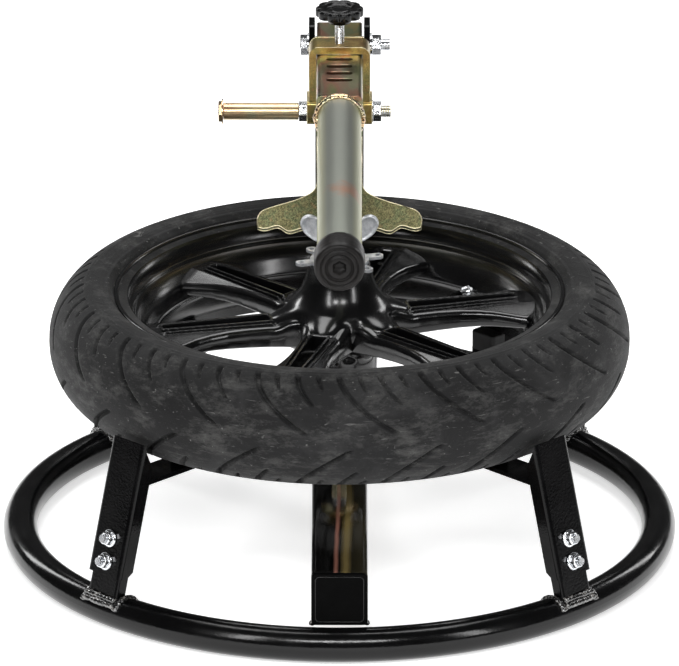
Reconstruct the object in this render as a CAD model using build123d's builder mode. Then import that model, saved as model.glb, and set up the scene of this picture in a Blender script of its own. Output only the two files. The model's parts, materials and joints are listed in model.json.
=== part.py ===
from build123d import *
from math import cos, radians, sin, sqrt
import os

# Motorcycle tyre changing stand with a clamped wheel. Millimetres, +Z up.
# The origin is on the floor at the middle of the round base. The lever's free end points to -Y, the
# side where the operator stands, and the rear post is on the +Y side.

os.makedirs("parts", exist_ok=True)

# ---- driving dimensions ------------------------------------------------------------------------
GAP = 0.3  # clearance between pieces of different bodies that only rest on each other
RUN = 0.05  # radial clearance of a shaft in its bore

# round base and the square rail across it
RING_R = 328.0  # to the tube's centre line
RING_TUBE = 35.0
RING_WALL = 2.5
RAIL = 57.0
RAIL_WALL = 3.0
RAIL_CORNER = 5.0
RAIL_BOTTOM = RING_TUBE  # the rail lies on top of the ring, welded to it
RAIL_TOP = RAIL_BOTTOM + RAIL
RAIL_FRONT = -318.0
RAIL_REAR = 365.0

# four leaning channel legs, bolted to short feet on the ring
LEG_AZIMUTHS = {"front_left": 225, "front_right": 315, "rear_right": 45, "rear_left": 135}
LEG_LEAN = 15.0
LEG_FOOT_R = 337.0  # outer face of the web at its bottom edge
LEG_FOOT_Z = 57.0
LEG_LENGTH = 140.0
LEG_WIDTH = 46.0
LEG_DEPTH = 18.0
LEG_WALL = 3.0
LEG_CORNER = 4.5
LEG_BOLT_FEET = (14.0, 38.0)  # along the leg from the bottom edge
FOOT_LENGTH = 74.0
FOOT_BELOW = 26.0  # how far a foot channel reaches below the leg
REST_Z = 150.0  # top of the shelf that reaches in under the rim
REST_INNER_R = 208.0

# wheel, lying flat
WHEEL_Z = 222.0
TYRE_R = 297.0
TYRE_WIDTH = 120.0
BEAD_R = 216.0
RIM_R = 230.5  # outer edge of the flanges
RIM_HALF = 52.0  # outer face of a flange from the wheel's middle plane
RIM_WELL_R = 195.0
SPOKES = 6
SPOKE_START = 14.5  # azimuth of the first spoke, degrees
HUB_TOP = 83.0  # above the wheel's middle plane
HUB_BOTTOM = -62.0
HUB_R = 31.0
BEARING_R = 21.0
BEARING_T = 14.0
BEARING_BORE_R = 10.0

# centre shaft
SHAFT_R = 8.0
SHAFT_TOP = 385.0
PILOT_R = 7.0  # plain lead above the thread
PILOT_LENGTH = 27.0

# post, lever and its pivot
POST = 51.0
POST_WALL = 3.0
PIVOT_Y = 335.0
PIVOT_Z = 420.0
EAR_T = 6.5
BOLT_R = 6.0
LEVER = 47.0
LEVER_WALL = 4.0
LEVER_FRONT = 112.0  # Y where the square tube ends
GRIP_R = 22.5
GRIP_WALL = 3.0
GRIP_FRONT = -322.0
CAP_R = 25.5
CAP_LENGTH = 37.0
CAP_FACE = GRIP_FRONT - 4.0
SLOT_PITCH = 21.0
SLOT_COUNT = 5
SLOT_FIRST_Y = 245.0

# sliding yoke and the parts it carries
YOKE_Y = 254.0
YOKE_LENGTH = 32.0
YOKE_T = 7.5
YOKE_INNER = LEVER + 1.0
YOKE_BOTTOM = 367.0
CROSS_Z = 375.5
LUG_T = 9.5
LUG_TOP = 392.0
LUG_LENGTH = 38.0
SHOE_SWING = 46.0  # forward swing of the shoe from hanging straight down
SHOE_LENGTH = 139.0
SHOE_T = 6.0
SHANK_WIDTH = 46.0
WING_HALF = 85.0
PEG_R = 9.0
PEG_LENGTH = 78.0

SCREW_R = 5.0

LEVER_TOP = PIVOT_Z + LEVER / 2
YOKE_TOP = LEVER_TOP + 0.5 + YOKE_T


# ---- shared shapes -----------------------------------------------------------------------------
def hex_bolt(seat, shank_r, length, flats, head, flange_r=0.0):
    """Hex head standing on the seat plane, with its shank running back through it."""
    with BuildPart() as bolt:
        with BuildSketch(seat):
            RegularPolygon(flats / sqrt(3), 6)
        extrude(amount=head)
        chamfer(bolt.edges().filter_by(GeomType.LINE).sort_by_distance(seat.offset(head).origin)[:6], 0.6)
        if flange_r:
            with BuildSketch(seat):
                Circle(flange_r)
            extrude(amount=1.5)
        with BuildSketch(seat):
            Circle(shank_r)
        extrude(amount=-length)
    return bolt.part


def hex_nut(seat, bore_r, flats, height, flange_r=0.0):
    """Hex nut standing on the seat plane."""
    with BuildPart() as nut:
        with BuildSketch(seat):
            RegularPolygon(flats / sqrt(3), 6)
        extrude(amount=height)
        if flange_r:
            with BuildSketch(seat):
                Circle(flange_r)
            extrude(amount=1.5)
        with BuildSketch(seat):
            Circle(bore_r)
        extrude(amount=height, mode=Mode.SUBTRACT)
    return nut.part


def ring_part(plane, outer_r, inner_r, height):
    """Plain ring standing on a plane: a washer, a spacer or a sleeve."""
    with BuildPart() as ring:
        with BuildSketch(plane):
            Circle(outer_r)
            Circle(inner_r, mode=Mode.SUBTRACT)
        extrude(amount=height)
    return ring.part


def x_plane(x, y, z, facing=1):
    """Plane across the X axis at a point; facing=-1 turns its normal to -X."""
    return Plane(origin=(x, y, z), x_dir=(0, facing, 0), z_dir=(facing, 0, 0))


# ---- base --------------------------------------------------------------------------------------
with BuildPart() as base_ring:
    with BuildSketch(Plane.XZ):
        with Locations((RING_R, RING_TUBE / 2)):
            Circle(RING_TUBE / 2)
            Circle(RING_TUBE / 2 - RING_WALL, mode=Mode.SUBTRACT)
    revolve(axis=Axis.Z)
    with BuildSketch(Plane.XY):  # vent holes for the powder coat oven, under the tube
        with PolarLocations(RING_R, 2, start_angle=20):
            Circle(3)
    extrude(amount=RING_WALL + 2, mode=Mode.SUBTRACT)
base_ring.part.label = "base_ring"
export_step(base_ring.part, "parts/base_ring.step")

with BuildPart() as cross_rail:
    with BuildSketch(Plane.XZ.offset(-RAIL_REAR)):
        with Locations((0, (RAIL_BOTTOM + RAIL_TOP) / 2)):
            RectangleRounded(RAIL, RAIL, RAIL_CORNER)
            RectangleRounded(RAIL - 2 * RAIL_WALL, RAIL - 2 * RAIL_WALL, RAIL_CORNER - RAIL_WALL + 1,
                             mode=Mode.SUBTRACT)
    extrude(amount=RAIL_REAR - RAIL_FRONT)
    with BuildSketch(Plane.XY.offset(RAIL_TOP)):
        Circle(SHAFT_R)
    extrude(amount=-RAIL_WALL - 2, mode=Mode.SUBTRACT)
cross_rail.part.label = "cross_rail"
export_step(cross_rail.part, "parts/cross_rail.step")

CAP_PLUG = 14.0
CAP_LIP = 3.0
for end, y, turn in (("front", RAIL_FRONT, 0), ("rear", RAIL_REAR, 180)):
    face = Plane(origin=(0, y, (RAIL_BOTTOM + RAIL_TOP) / 2), x_dir=(cos(radians(turn)), 0, 0),
                 z_dir=(0, -cos(radians(turn)), 0))
    with BuildPart() as rail_cap:
        with BuildSketch(face):
            RectangleRounded(RAIL - 1.0, RAIL - 1.0, RAIL_CORNER - 0.5)
        extrude(amount=CAP_LIP)
        chamfer(rail_cap.faces().sort_by_distance(face.offset(CAP_LIP + 50).origin)[0].edges(), 1.0)
        with BuildSketch(face):
            RectangleRounded(RAIL - 2 * RAIL_WALL - 0.4, RAIL - 2 * RAIL_WALL - 0.4, 2.5)
            RectangleRounded(RAIL - 2 * RAIL_WALL - 6, RAIL - 2 * RAIL_WALL - 6, 2, mode=Mode.SUBTRACT)
        extrude(amount=-CAP_PLUG)
    rail_cap.part.label = f"rail_cap_{end}"
    export_step(rail_cap.part, f"parts/rail_cap_{end}.step")


# ---- legs, their feet and the rim rests --------------------------------------------------------
def leg_plane(azimuth, along=0.0, inward=0.0):
    """Plane square to a leg: x runs round the ring, y points inward across the leg, z up along it."""
    out = Vector(cos(radians(azimuth)), sin(radians(azimuth)), 0)
    up = Vector(0, 0, 1) * cos(radians(LEG_LEAN)) - out * sin(radians(LEG_LEAN))
    across = Vector(-out.Y, out.X, 0)
    origin = out * LEG_FOOT_R + Vector(0, 0, LEG_FOOT_Z) + up * along + up.cross(across) * inward
    return Plane(origin=origin, x_dir=across, z_dir=up)


def leg_web_plane(azimuth, along, inward):
    """Plane on a leg's web, facing outward, with x round the ring and y up along the leg."""
    square = leg_plane(azimuth, along, inward)
    return Plane(origin=square.origin, x_dir=square.x_dir, z_dir=square.y_dir * -1)


def channel(plane, width, depth, wall, corner, length):
    """Straight channel whose web lies on the plane's x axis and whose flanges point along y."""
    with BuildPart() as bar:
        with BuildSketch(plane) as section:
            Rectangle(width, depth, align=(Align.CENTER, Align.MIN))
            fillet(section.vertices().group_by(Axis.Y)[0], corner)
            with Locations((0, wall)):
                Rectangle(width - 2 * wall, depth, align=(Align.CENTER, Align.MIN), mode=Mode.SUBTRACT)
        extrude(amount=length)
    return bar.part


FLANGE_DROP = 26.0  # the leg's flanges end this far below the top of its web
INNER_WIDTH = LEG_WIDTH - 2 * LEG_WALL - 0.4
BOLT_M8 = 4.0
HOLE_M8 = 4.2
LEG_BOLT_LENGTH = 18.0
SHELF_T = 5.0
SHELF_WIDTH = 34.0
PAD_TOP = WHEEL_Z - RIM_HALF - GAP
PAD_OUTER_R = 229.0
CHANNEL_REST = (70.0, 112.0)  # stretch of the leg that the rim rest's channel lines

leg_bolt_list = []
leg_nut_list = []
for place, azimuth in LEG_AZIMUTHS.items():
    with BuildPart() as leg:
        add(channel(leg_plane(azimuth), LEG_WIDTH, LEG_DEPTH, LEG_WALL, LEG_CORNER, LEG_LENGTH))
        flank = leg_plane(azimuth, LEG_LENGTH, LEG_WALL)
        with BuildSketch(Plane(origin=flank.origin, x_dir=flank.y_dir, z_dir=flank.x_dir)):
            with BuildLine():
                Polyline((0, 5), (0, -4), (LEG_DEPTH, -FLANGE_DROP), (LEG_DEPTH, 5), close=True)
            make_face()
        extrude(amount=LEG_WIDTH, both=True, mode=Mode.SUBTRACT)
        heel = leg_plane(azimuth, 0, LEG_DEPTH)
        with BuildSketch(Plane(origin=heel.origin, x_dir=heel.y_dir, z_dir=heel.x_dir)):
            with BuildLine():
                Polyline((1, -1), (-9, -1), (1, 9), close=True)
            make_face()
        extrude(amount=LEG_WIDTH, both=True, mode=Mode.SUBTRACT)
        for along in LEG_BOLT_FEET:
            with BuildSketch(leg_web_plane(azimuth, along, 0)):
                Circle(HOLE_M8)
            extrude(amount=-LEG_WALL - 1, mode=Mode.SUBTRACT)
    leg.part.label = f"leg_{place}"
    export_step(leg.part, f"parts/leg_{place}.step")

    with BuildPart() as leg_foot:
        lining = leg_plane(azimuth, -FOOT_BELOW, LEG_WALL + 0.1)
        add(channel(lining, INNER_WIDTH, LEG_DEPTH - LEG_WALL - 2, LEG_WALL, 3.0, FOOT_LENGTH))
        for along in LEG_BOLT_FEET:
            with BuildSketch(leg_web_plane(azimuth, along, 0)):
                Circle(HOLE_M8)
            extrude(amount=-LEG_WALL - 5, mode=Mode.SUBTRACT)
        add(Solid.make_torus(RING_R, RING_TUBE / 2, Plane.XY.offset(RING_TUBE / 2)),
            mode=Mode.SUBTRACT)
    foot_solid = leg_foot.part.solids().sort_by(Axis.Z)[-1]
    foot_solid.label = f"leg_foot_{place}"
    export_step(foot_solid, f"parts/leg_foot_{place}.step")

    with BuildPart() as rim_rest:
        lining = leg_plane(azimuth, CHANNEL_REST[0], LEG_WALL + 0.1)
        add(channel(lining, INNER_WIDTH, LEG_DEPTH - LEG_WALL - 2, LEG_WALL, 3.0,
                    CHANNEL_REST[1] - CHANNEL_REST[0]))
        out = Vector(cos(radians(azimuth)), sin(radians(azimuth)), 0)
        shelf_end = leg_plane(azimuth, CHANNEL_REST[0] + 12, LEG_WALL + 1.5).origin
        shelf_r = shelf_end.dot(out)
        shelf = Plane(origin=out * REST_INNER_R + Vector(0, 0, REST_Z), x_dir=out)
        with BuildSketch(shelf):
            Rectangle(shelf_r - REST_INNER_R - 6, SHELF_WIDTH, align=(Align.MIN, Align.CENTER))
            fillet(vertices().group_by(Axis.X)[0], 6)
        extrude(amount=-SHELF_T)
        rib = Plane(origin=shelf.origin, x_dir=out, z_dir=shelf.y_dir * -1)
        with BuildSketch(rib):
            with BuildLine():
                Polyline((16, -SHELF_T + 1), (shelf_r - REST_INNER_R - 8, -SHELF_T + 1),
                         (shelf_r - REST_INNER_R - 8, -11), close=True)
            make_face()
        extrude(amount=2.5, both=True)
    rim_rest.part.label = f"rim_rest_{place}"
    export_step(rim_rest.part, f"parts/rim_rest_{place}.step")

    with BuildPart() as rest_pad:
        with BuildSketch(shelf):
            Rectangle(PAD_OUTER_R - REST_INNER_R, SHELF_WIDTH - 2, align=(Align.MIN, Align.CENTER))
            fillet(vertices(), 5)
        extrude(amount=PAD_TOP - REST_Z)
        fillet(rest_pad.faces().sort_by(Axis.Z)[-1].edges(), 2)
    rest_pad.part.label = f"rest_pad_{place}"
    export_step(rest_pad.part, f"parts/rest_pad_{place}.step")

    for along in LEG_BOLT_FEET:
        web_outer = leg_web_plane(azimuth, along, 0)
        web_inner = leg_web_plane(azimuth, along, 2 * LEG_WALL + 0.1)
        web_inner = Plane(origin=web_inner.origin, x_dir=web_inner.x_dir, z_dir=web_inner.z_dir * -1)
        leg_bolt_list.append(hex_bolt(web_inner, BOLT_M8, LEG_BOLT_LENGTH, 13, 5.5, 8.5))
        leg_nut_list.append(hex_nut(web_outer, BOLT_M8, 13, 8.0, 9.0))

for name, pieces in (("leg_bolts", leg_bolt_list), ("leg_nuts", leg_nut_list)):
    group = Compound(label=name, children=pieces)
    export_step(group, f"parts/{name}.step")

# ---- centre shaft with its lower cone ----------------------------------------------------------
CONE_BASE_R = 19.0
LOWER_BEARING_FACE = WHEEL_Z + HUB_BOTTOM
UPPER_BEARING_FACE = WHEEL_Z + HUB_TOP - 1.0

with BuildPart() as centre_shaft:
    with BuildSketch(Plane.XY.offset(RAIL_TOP - RAIL_WALL)):
        Circle(SHAFT_R)
    extrude(amount=SHAFT_TOP - PILOT_LENGTH - RAIL_TOP + RAIL_WALL)
    with BuildSketch(Plane.XY.offset(SHAFT_TOP - PILOT_LENGTH)):
        Circle(PILOT_R)
    extrude(amount=PILOT_LENGTH)
    chamfer(centre_shaft.faces().sort_by(Axis.Z)[-1].edges(), 1.2)
centre_shaft.part.label = "centre_shaft"
export_step(centre_shaft.part, "parts/centre_shaft.step")

with BuildPart() as shaft_collar:
    with BuildSketch(Plane.XZ):
        with BuildLine():
            Polyline((SHAFT_R, RAIL_TOP), (24, RAIL_TOP), (24, RAIL_TOP + 6), (15, RAIL_TOP + 8),
                     (13, RAIL_TOP + 26), (SHAFT_R, RAIL_TOP + 26), close=True)
        make_face()
    revolve(axis=Axis.Z)
shaft_collar.part.label = "shaft_collar"
export_step(shaft_collar.part, "parts/shaft_collar.step")

CONE_BOTTOM = LOWER_BEARING_FACE - 12.0
height_nut = hex_nut(Plane.XY.offset(CONE_BOTTOM - 13), SHAFT_R, 24, 13)
height_nut.label = "height_nut"
export_step(height_nut, "parts/height_nut.step")


def cone_profile(wide_z, tip_z, bearing_z):
    """Half section of a centring cone that enters a bearing bore with GAP to spare."""
    touch_r = BEARING_BORE_R - GAP
    slope = (CONE_BASE_R - touch_r) / (wide_z - bearing_z)
    tip_r = touch_r + slope * (tip_z - bearing_z)
    rim_z = wide_z + (3 if wide_z > bearing_z else -3)
    with BuildSketch(Plane.XZ) as half:
        with BuildLine():
            Polyline((SHAFT_R + RUN, tip_z), (tip_r, tip_z), (CONE_BASE_R, wide_z),
                     (CONE_BASE_R, rim_z), (SHAFT_R + RUN, rim_z), close=True)
        make_face()
    return half.sketch


with BuildPart() as lower_cone:
    add(cone_profile(LOWER_BEARING_FACE - 9, LOWER_BEARING_FACE + 1, LOWER_BEARING_FACE))
    revolve(axis=Axis.Z)
lower_cone.part.label = "lower_cone"
export_step(lower_cone.part, "parts/lower_cone.step")

with BuildPart() as upper_cone:
    add(cone_profile(UPPER_BEARING_FACE + 10, UPPER_BEARING_FACE - 1, UPPER_BEARING_FACE))
    revolve(axis=Axis.Z)
upper_cone.part.label = "upper_cone"
export_step(upper_cone.part, "parts/upper_cone.step")

# ---- wing nut ----------------------------------------------------------------------------------
NUT_BASE = UPPER_BEARING_FACE + 13 + GAP
NUT_HEIGHT = 27.0
WING_SPAN = 40.0
with BuildPart() as wing_nut:
    with BuildSketch(Plane.XZ):
        with BuildLine():
            Polyline((0, NUT_BASE), (16, NUT_BASE), (16, NUT_BASE + 5), (13, NUT_BASE + NUT_HEIGHT),
                     (0, NUT_BASE + NUT_HEIGHT), close=True)
        make_face()
    revolve(axis=Axis.Z)
    with BuildSketch(Plane.XZ.offset(-3)):
        for side in (-1, 1):
            with BuildLine():
                Spline((side * 9, NUT_BASE + 3), (side * 22, NUT_BASE + 10), (side * 36, NUT_BASE + 18),
                       (side * WING_SPAN, NUT_BASE + 29), (side * 34, NUT_BASE + 38),
                       (side * 23, NUT_BASE + 35), (side * 13, NUT_BASE + 20), (side * 9, NUT_BASE + 14))
                Line((side * 9, NUT_BASE + 14), (side * 9, NUT_BASE + 3))
            make_face()
    extrude(amount=6)
    with BuildSketch(Plane.XY.offset(NUT_BASE)):
        Circle(SHAFT_R + RUN)
    extrude(amount=60, mode=Mode.SUBTRACT)
wing_nut.part.label = "wing_nut"
export_step(wing_nut.part, "parts/wing_nut.step")

# ---- wheel -------------------------------------------------------------------------------------
RIM_WALL = 5.0
FLANGE_T = 4.0
SEAT_IN = 14.0  # flange face to the inner end of the bead seat
with BuildPart() as tyre:
    with BuildSketch(Plane.XZ):
        with BuildLine():
            bead = (BEAD_R + 0.2, WHEEL_Z - RIM_HALF + FLANGE_T)
            top_bead = (BEAD_R + 0.2, WHEEL_Z + RIM_HALF - FLANGE_T)
            Spline(top_bead, (RIM_R + 4, WHEEL_Z + RIM_HALF + 5), (257, WHEEL_Z + TYRE_WIDTH / 2 - 0.5),
                   (284, WHEEL_Z + 40), (TYRE_R, WHEEL_Z), (284, WHEEL_Z - 40),
                   (257, WHEEL_Z - TYRE_WIDTH / 2 + 0.5), (RIM_R + 4, WHEEL_Z - RIM_HALF - 5), bead)
            Polyline(bead, (BEAD_R + 0.2, WHEEL_Z - RIM_HALF + 16), (RIM_R + 2, WHEEL_Z - 37))
            Spline((RIM_R + 2, WHEEL_Z - 37), (262, WHEEL_Z - 46), (276, WHEEL_Z - 30),
                   (TYRE_R - 10, WHEEL_Z), (276, WHEEL_Z + 30), (262, WHEEL_Z + 46),
                   (RIM_R + 2, WHEEL_Z + 37))
            Polyline((RIM_R + 2, WHEEL_Z + 37), (BEAD_R + 0.2, WHEEL_Z + RIM_HALF - 16), top_bead)
        make_face()
    revolve(axis=Axis.Z)
    with BuildSketch(Plane.XZ):  # room for the rim's flange lips
        for side in (-1, 1):
            with Locations((BEAD_R - 1, WHEEL_Z + side * (RIM_HALF - FLANGE_T - GAP))):
                Rectangle(RIM_R + 1.5 - BEAD_R, 14,
                          align=(Align.MIN, Align.MIN if side > 0 else Align.MAX))
    revolve(axis=Axis.Z, mode=Mode.SUBTRACT)
tyre.part.label = "tyre"
export_step(tyre.part, "parts/tyre.step")

# spokes: a flat ridge with sloping shoulders, flaring towards the rim
SPOKE_STATIONS = ((40.0, 23.0), (112.0, 20.0), (150.0, 27.0), (194.0, 46.0))  # radius, half width
SPOKE_RIDGE_HALF = 14.0
SPOKE_TOP = 28.0  # above the middle plane
SPOKE_SHOULDER = 15.0
SPOKE_BOTTOM = 2.0
VALVE_R = 4.0
VALVE_AZIMUTH = radians(SPOKE_START + 180 / SPOKES)
VALVE_OUT = Vector(cos(VALVE_AZIMUTH), sin(VALVE_AZIMUTH), 0)
VALVE_SEAT = Plane(origin=VALVE_OUT * (RIM_WELL_R - RIM_WALL) + Vector(0, 0, WHEEL_Z),
                   x_dir=(0, 0, 1), z_dir=VALVE_OUT * -1)
with BuildPart() as wheel_rim:
    with BuildSketch(Plane.XZ):
        with BuildLine():
            well = RIM_WELL_R
            Polyline((RIM_R, WHEEL_Z + RIM_HALF), (RIM_R, WHEEL_Z + RIM_HALF - FLANGE_T),
                     (BEAD_R, WHEEL_Z + RIM_HALF - FLANGE_T), (BEAD_R, WHEEL_Z + RIM_HALF - SEAT_IN - 6),
                     (well, WHEEL_Z + 18), (well, WHEEL_Z - 18),
                     (BEAD_R, WHEEL_Z - RIM_HALF + SEAT_IN + 6), (BEAD_R, WHEEL_Z - RIM_HALF + FLANGE_T),
                     (RIM_R, WHEEL_Z - RIM_HALF + FLANGE_T), (RIM_R, WHEEL_Z - RIM_HALF),
                     (BEAD_R - RIM_WALL, WHEEL_Z - RIM_HALF),
                     (BEAD_R - RIM_WALL, WHEEL_Z - RIM_HALF + SEAT_IN + 4),
                     (well - RIM_WALL, WHEEL_Z - 20), (well - RIM_WALL, WHEEL_Z + 20),
                     (BEAD_R - RIM_WALL, WHEEL_Z + RIM_HALF - SEAT_IN - 4),
                     (BEAD_R - RIM_WALL, WHEEL_Z + RIM_HALF), close=True)
        make_face()
    revolve(axis=Axis.Z)
    with BuildSketch(VALVE_SEAT):
        Circle(VALVE_R + RUN)
    extrude(amount=20, both=True, mode=Mode.SUBTRACT)
wheel_rim.part.label = "wheel_rim"
export_step(wheel_rim.part, "parts/wheel_rim.step")

# hub and spokes, cast in one with the rim
with BuildPart() as wheel_spider:
    with BuildSketch(Plane.XZ):
        with BuildLine():
            Polyline((BEARING_BORE_R, WHEEL_Z + HUB_BOTTOM), (HUB_R, WHEEL_Z + HUB_BOTTOM),
                     (HUB_R + 3, WHEEL_Z - 30), (HUB_R + 22, WHEEL_Z - 8), (HUB_R + 22, WHEEL_Z + 26),
                     (HUB_R + 5, WHEEL_Z + 52), (HUB_R, WHEEL_Z + HUB_TOP),
                     (BEARING_BORE_R, WHEEL_Z + HUB_TOP), close=True)
        make_face()
    revolve(axis=Axis.Z)
    for index in range(SPOKES):
        azimuth = radians(SPOKE_START + 360 / SPOKES * index)
        out = Vector(cos(azimuth), sin(azimuth), 0)
        across = Vector(-sin(azimuth), cos(azimuth), 0)
        for station_r, half in SPOKE_STATIONS:
            station = Plane(origin=out * station_r + Vector(0, 0, WHEEL_Z), x_dir=across, z_dir=out)
            with BuildSketch(station):
                with BuildLine():
                    Polyline((-SPOKE_RIDGE_HALF, SPOKE_TOP), (SPOKE_RIDGE_HALF, SPOKE_TOP),
                             (half, SPOKE_SHOULDER), (half, SPOKE_BOTTOM), (-half, SPOKE_BOTTOM),
                             (-half, SPOKE_SHOULDER), close=True)
                make_face()
        loft(ruled=True)
    with BuildSketch(Plane.XY.offset(WHEEL_Z)):  # nothing reaches past the rim's inner wall
        Circle(RIM_R)
        Circle(RIM_WELL_R - RIM_WALL, mode=Mode.SUBTRACT)
    extrude(amount=HUB_TOP, mode=Mode.SUBTRACT)
    for z, height in ((WHEEL_Z + HUB_BOTTOM, BEARING_T), (WHEEL_Z + HUB_TOP, -BEARING_T)):
        with BuildSketch(Plane.XY.offset(z)):
            Circle(BEARING_R)
        extrude(amount=height, mode=Mode.SUBTRACT)
    with BuildSketch(Plane.XY.offset(WHEEL_Z + HUB_BOTTOM)):
        Circle(17)
    extrude(amount=HUB_TOP - HUB_BOTTOM, mode=Mode.SUBTRACT)
wheel_spider.part.label = "wheel_spider"
export_step(wheel_spider.part, "parts/wheel_spider.step")

bearing_upper = ring_part(Plane.XY.offset(UPPER_BEARING_FACE), BEARING_R, BEARING_BORE_R, -BEARING_T + 1)
bearing_upper.label = "bearing_upper"
export_step(bearing_upper, "parts/bearing_upper.step")
bearing_lower = ring_part(Plane.XY.offset(LOWER_BEARING_FACE), BEARING_R, BEARING_BORE_R, BEARING_T)
bearing_lower.label = "bearing_lower"
export_step(bearing_lower, "parts/bearing_lower.step")
bearing_spacer = ring_part(Plane.XY.offset(LOWER_BEARING_FACE + BEARING_T), 14, BEARING_BORE_R,
                           HUB_TOP - HUB_BOTTOM - 2 * BEARING_T)
bearing_spacer.label = "bearing_spacer"
export_step(bearing_spacer, "parts/bearing_spacer.step")

# the eared ring on top of the hub
TABS = 6
with BuildPart() as hub_ring:
    with BuildSketch(Plane.XY.offset(WHEEL_Z + HUB_TOP)):
        Circle(30)
        with PolarLocations(36, TABS, start_angle=15):
            SlotOverall(20, 11)
        Circle(22, mode=Mode.SUBTRACT)
        with PolarLocations(40, TABS, start_angle=15):
            Circle(2.6, mode=Mode.SUBTRACT)
    extrude(amount=3)
hub_ring.part.label = "hub_ring"
export_step(hub_ring.part, "parts/hub_ring.step")

valve_length = 17.0
with BuildPart() as valve_stem:
    with BuildSketch(VALVE_SEAT):
        Circle(VALVE_R)
    extrude(amount=valve_length)
    with BuildSketch(VALVE_SEAT):
        Circle(VALVE_R)
    extrude(amount=-12)
    with BuildSketch(VALVE_SEAT.offset(3)):
        RegularPolygon(7, 6)
    extrude(amount=4)
valve_stem.part.label = "valve_stem"
export_step(valve_stem.part, "parts/valve_stem.step")
with BuildPart() as valve_cap:
    with BuildSketch(VALVE_SEAT.offset(valve_length)):
        Circle(5)
    extrude(amount=9)
    chamfer(valve_cap.edges().sort_by(lambda edge: (edge.center() - VALVE_SEAT.origin).length)[-1], 1.2)
valve_cap.part.label = "valve_cap"
export_step(valve_cap.part, "parts/valve_cap.step")

# ---- rear post and ears ------------------------------------------------------------------------
POST_TOP = PIVOT_Z - LEVER / 2 - GAP
with BuildPart() as rear_post:
    with BuildSketch(Plane.XY.offset(RAIL_TOP)):
        with Locations((0, PIVOT_Y)):
            RectangleRounded(POST, POST, 4)
            RectangleRounded(POST - 2 * POST_WALL, POST - 2 * POST_WALL, 2, mode=Mode.SUBTRACT)
    extrude(amount=POST_TOP - RAIL_TOP)
rear_post.part.label = "rear_post"
export_step(rear_post.part, "parts/rear_post.step")

EAR_BOTTOM = PIVOT_Z - 44
EAR_TOP = PIVOT_Z + 26
for side, name in ((-1, "left"), (1, "right")):
    inner = x_plane(side * POST / 2, PIVOT_Y, 0, side)
    with BuildPart() as ear:
        with BuildSketch(inner):
            with Locations((0, (EAR_BOTTOM + EAR_TOP) / 2)):
                Rectangle(46, EAR_TOP - EAR_BOTTOM)
                chamfer(vertices().group_by(Axis.Y)[-1], 9)
            with Locations((0, PIVOT_Z)):
                Circle(BOLT_R + RUN, mode=Mode.SUBTRACT)
        extrude(amount=EAR_T)
    ear.part.label = f"ear_{name}"
    export_step(ear.part, f"parts/ear_{name}.step")

EAR_OUTER = POST / 2 + EAR_T
pivot_bolt = hex_bolt(x_plane(-EAR_OUTER - 1.5, PIVOT_Y, PIVOT_Z, -1), BOLT_R, EAR_OUTER * 2 + 22, 19, 7.5)
pivot_bolt.label = "pivot_bolt"
export_step(pivot_bolt, "parts/pivot_bolt.step")
pivot_nut = hex_nut(x_plane(EAR_OUTER + 2, PIVOT_Y, PIVOT_Z), BOLT_R, 19, 9.5)
pivot_nut.label = "pivot_nut"
export_step(pivot_nut, "parts/pivot_nut.step")
pivot_washers = Compound(label="pivot_washers", children=[
    ring_part(x_plane(-EAR_OUTER, PIVOT_Y, PIVOT_Z, -1), 12, BOLT_R + RUN, 1.5),
    ring_part(x_plane(EAR_OUTER, PIVOT_Y, PIVOT_Z), 12, BOLT_R + RUN, 2.0),
])
export_step(pivot_washers, "parts/pivot_washers.step")

# ---- lever -------------------------------------------------------------------------------------
TUBE_CORNER = 5.0
SLEEVE_R = 9.0
with BuildPart() as lever_tube:
    with BuildSketch(Plane.XZ.offset(-PIVOT_Y - LEVER / 2)):
        with Locations((0, PIVOT_Z)):
            RectangleRounded(LEVER, LEVER, TUBE_CORNER)
            RectangleRounded(LEVER - 2 * LEVER_WALL, LEVER - 2 * LEVER_WALL, 2, mode=Mode.SUBTRACT)
    extrude(amount=PIVOT_Y + LEVER / 2 - LEVER_FRONT)
    with BuildSketch(x_plane(0, PIVOT_Y, PIVOT_Z)):  # tail rounded about the pivot, to clear the post
        Rectangle(LEVER + 2, LEVER + 2, align=(Align.MIN, Align.CENTER))
        Circle(LEVER / 2, mode=Mode.SUBTRACT)
    extrude(amount=LEVER, both=True, mode=Mode.SUBTRACT)
    with BuildSketch(x_plane(0, PIVOT_Y, PIVOT_Z)):
        Circle(SLEEVE_R)
    extrude(amount=LEVER, both=True, mode=Mode.SUBTRACT)
    with BuildSketch(Plane.XY.offset(LEVER_TOP)):
        with Locations((0, SLOT_FIRST_Y - SLOT_PITCH * (SLOT_COUNT - 1) / 2)):
            with GridLocations(0, SLOT_PITCH, 1, SLOT_COUNT):
                SlotOverall(27, 9)
    extrude(amount=-LEVER_WALL - 1, mode=Mode.SUBTRACT)
lever_tube.part.label = "lever_tube"
export_step(lever_tube.part, "parts/lever_tube.step")

pivot_sleeve = ring_part(x_plane(-POST / 2 + GAP, PIVOT_Y, PIVOT_Z), SLEEVE_R, BOLT_R + RUN,
                         POST - 2 * GAP)
pivot_sleeve.label = "pivot_sleeve"
export_step(pivot_sleeve, "parts/pivot_sleeve.step")

with BuildPart() as grip_tube:
    with BuildSketch(Plane.XZ.offset(-LEVER_FRONT)):
        with Locations((0, PIVOT_Z)):
            Circle(GRIP_R)
            Circle(GRIP_R - GRIP_WALL, mode=Mode.SUBTRACT)
    extrude(amount=LEVER_FRONT - GRIP_FRONT)
grip_tube.part.label = "grip_tube"
export_step(grip_tube.part, "parts/grip_tube.step")

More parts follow.
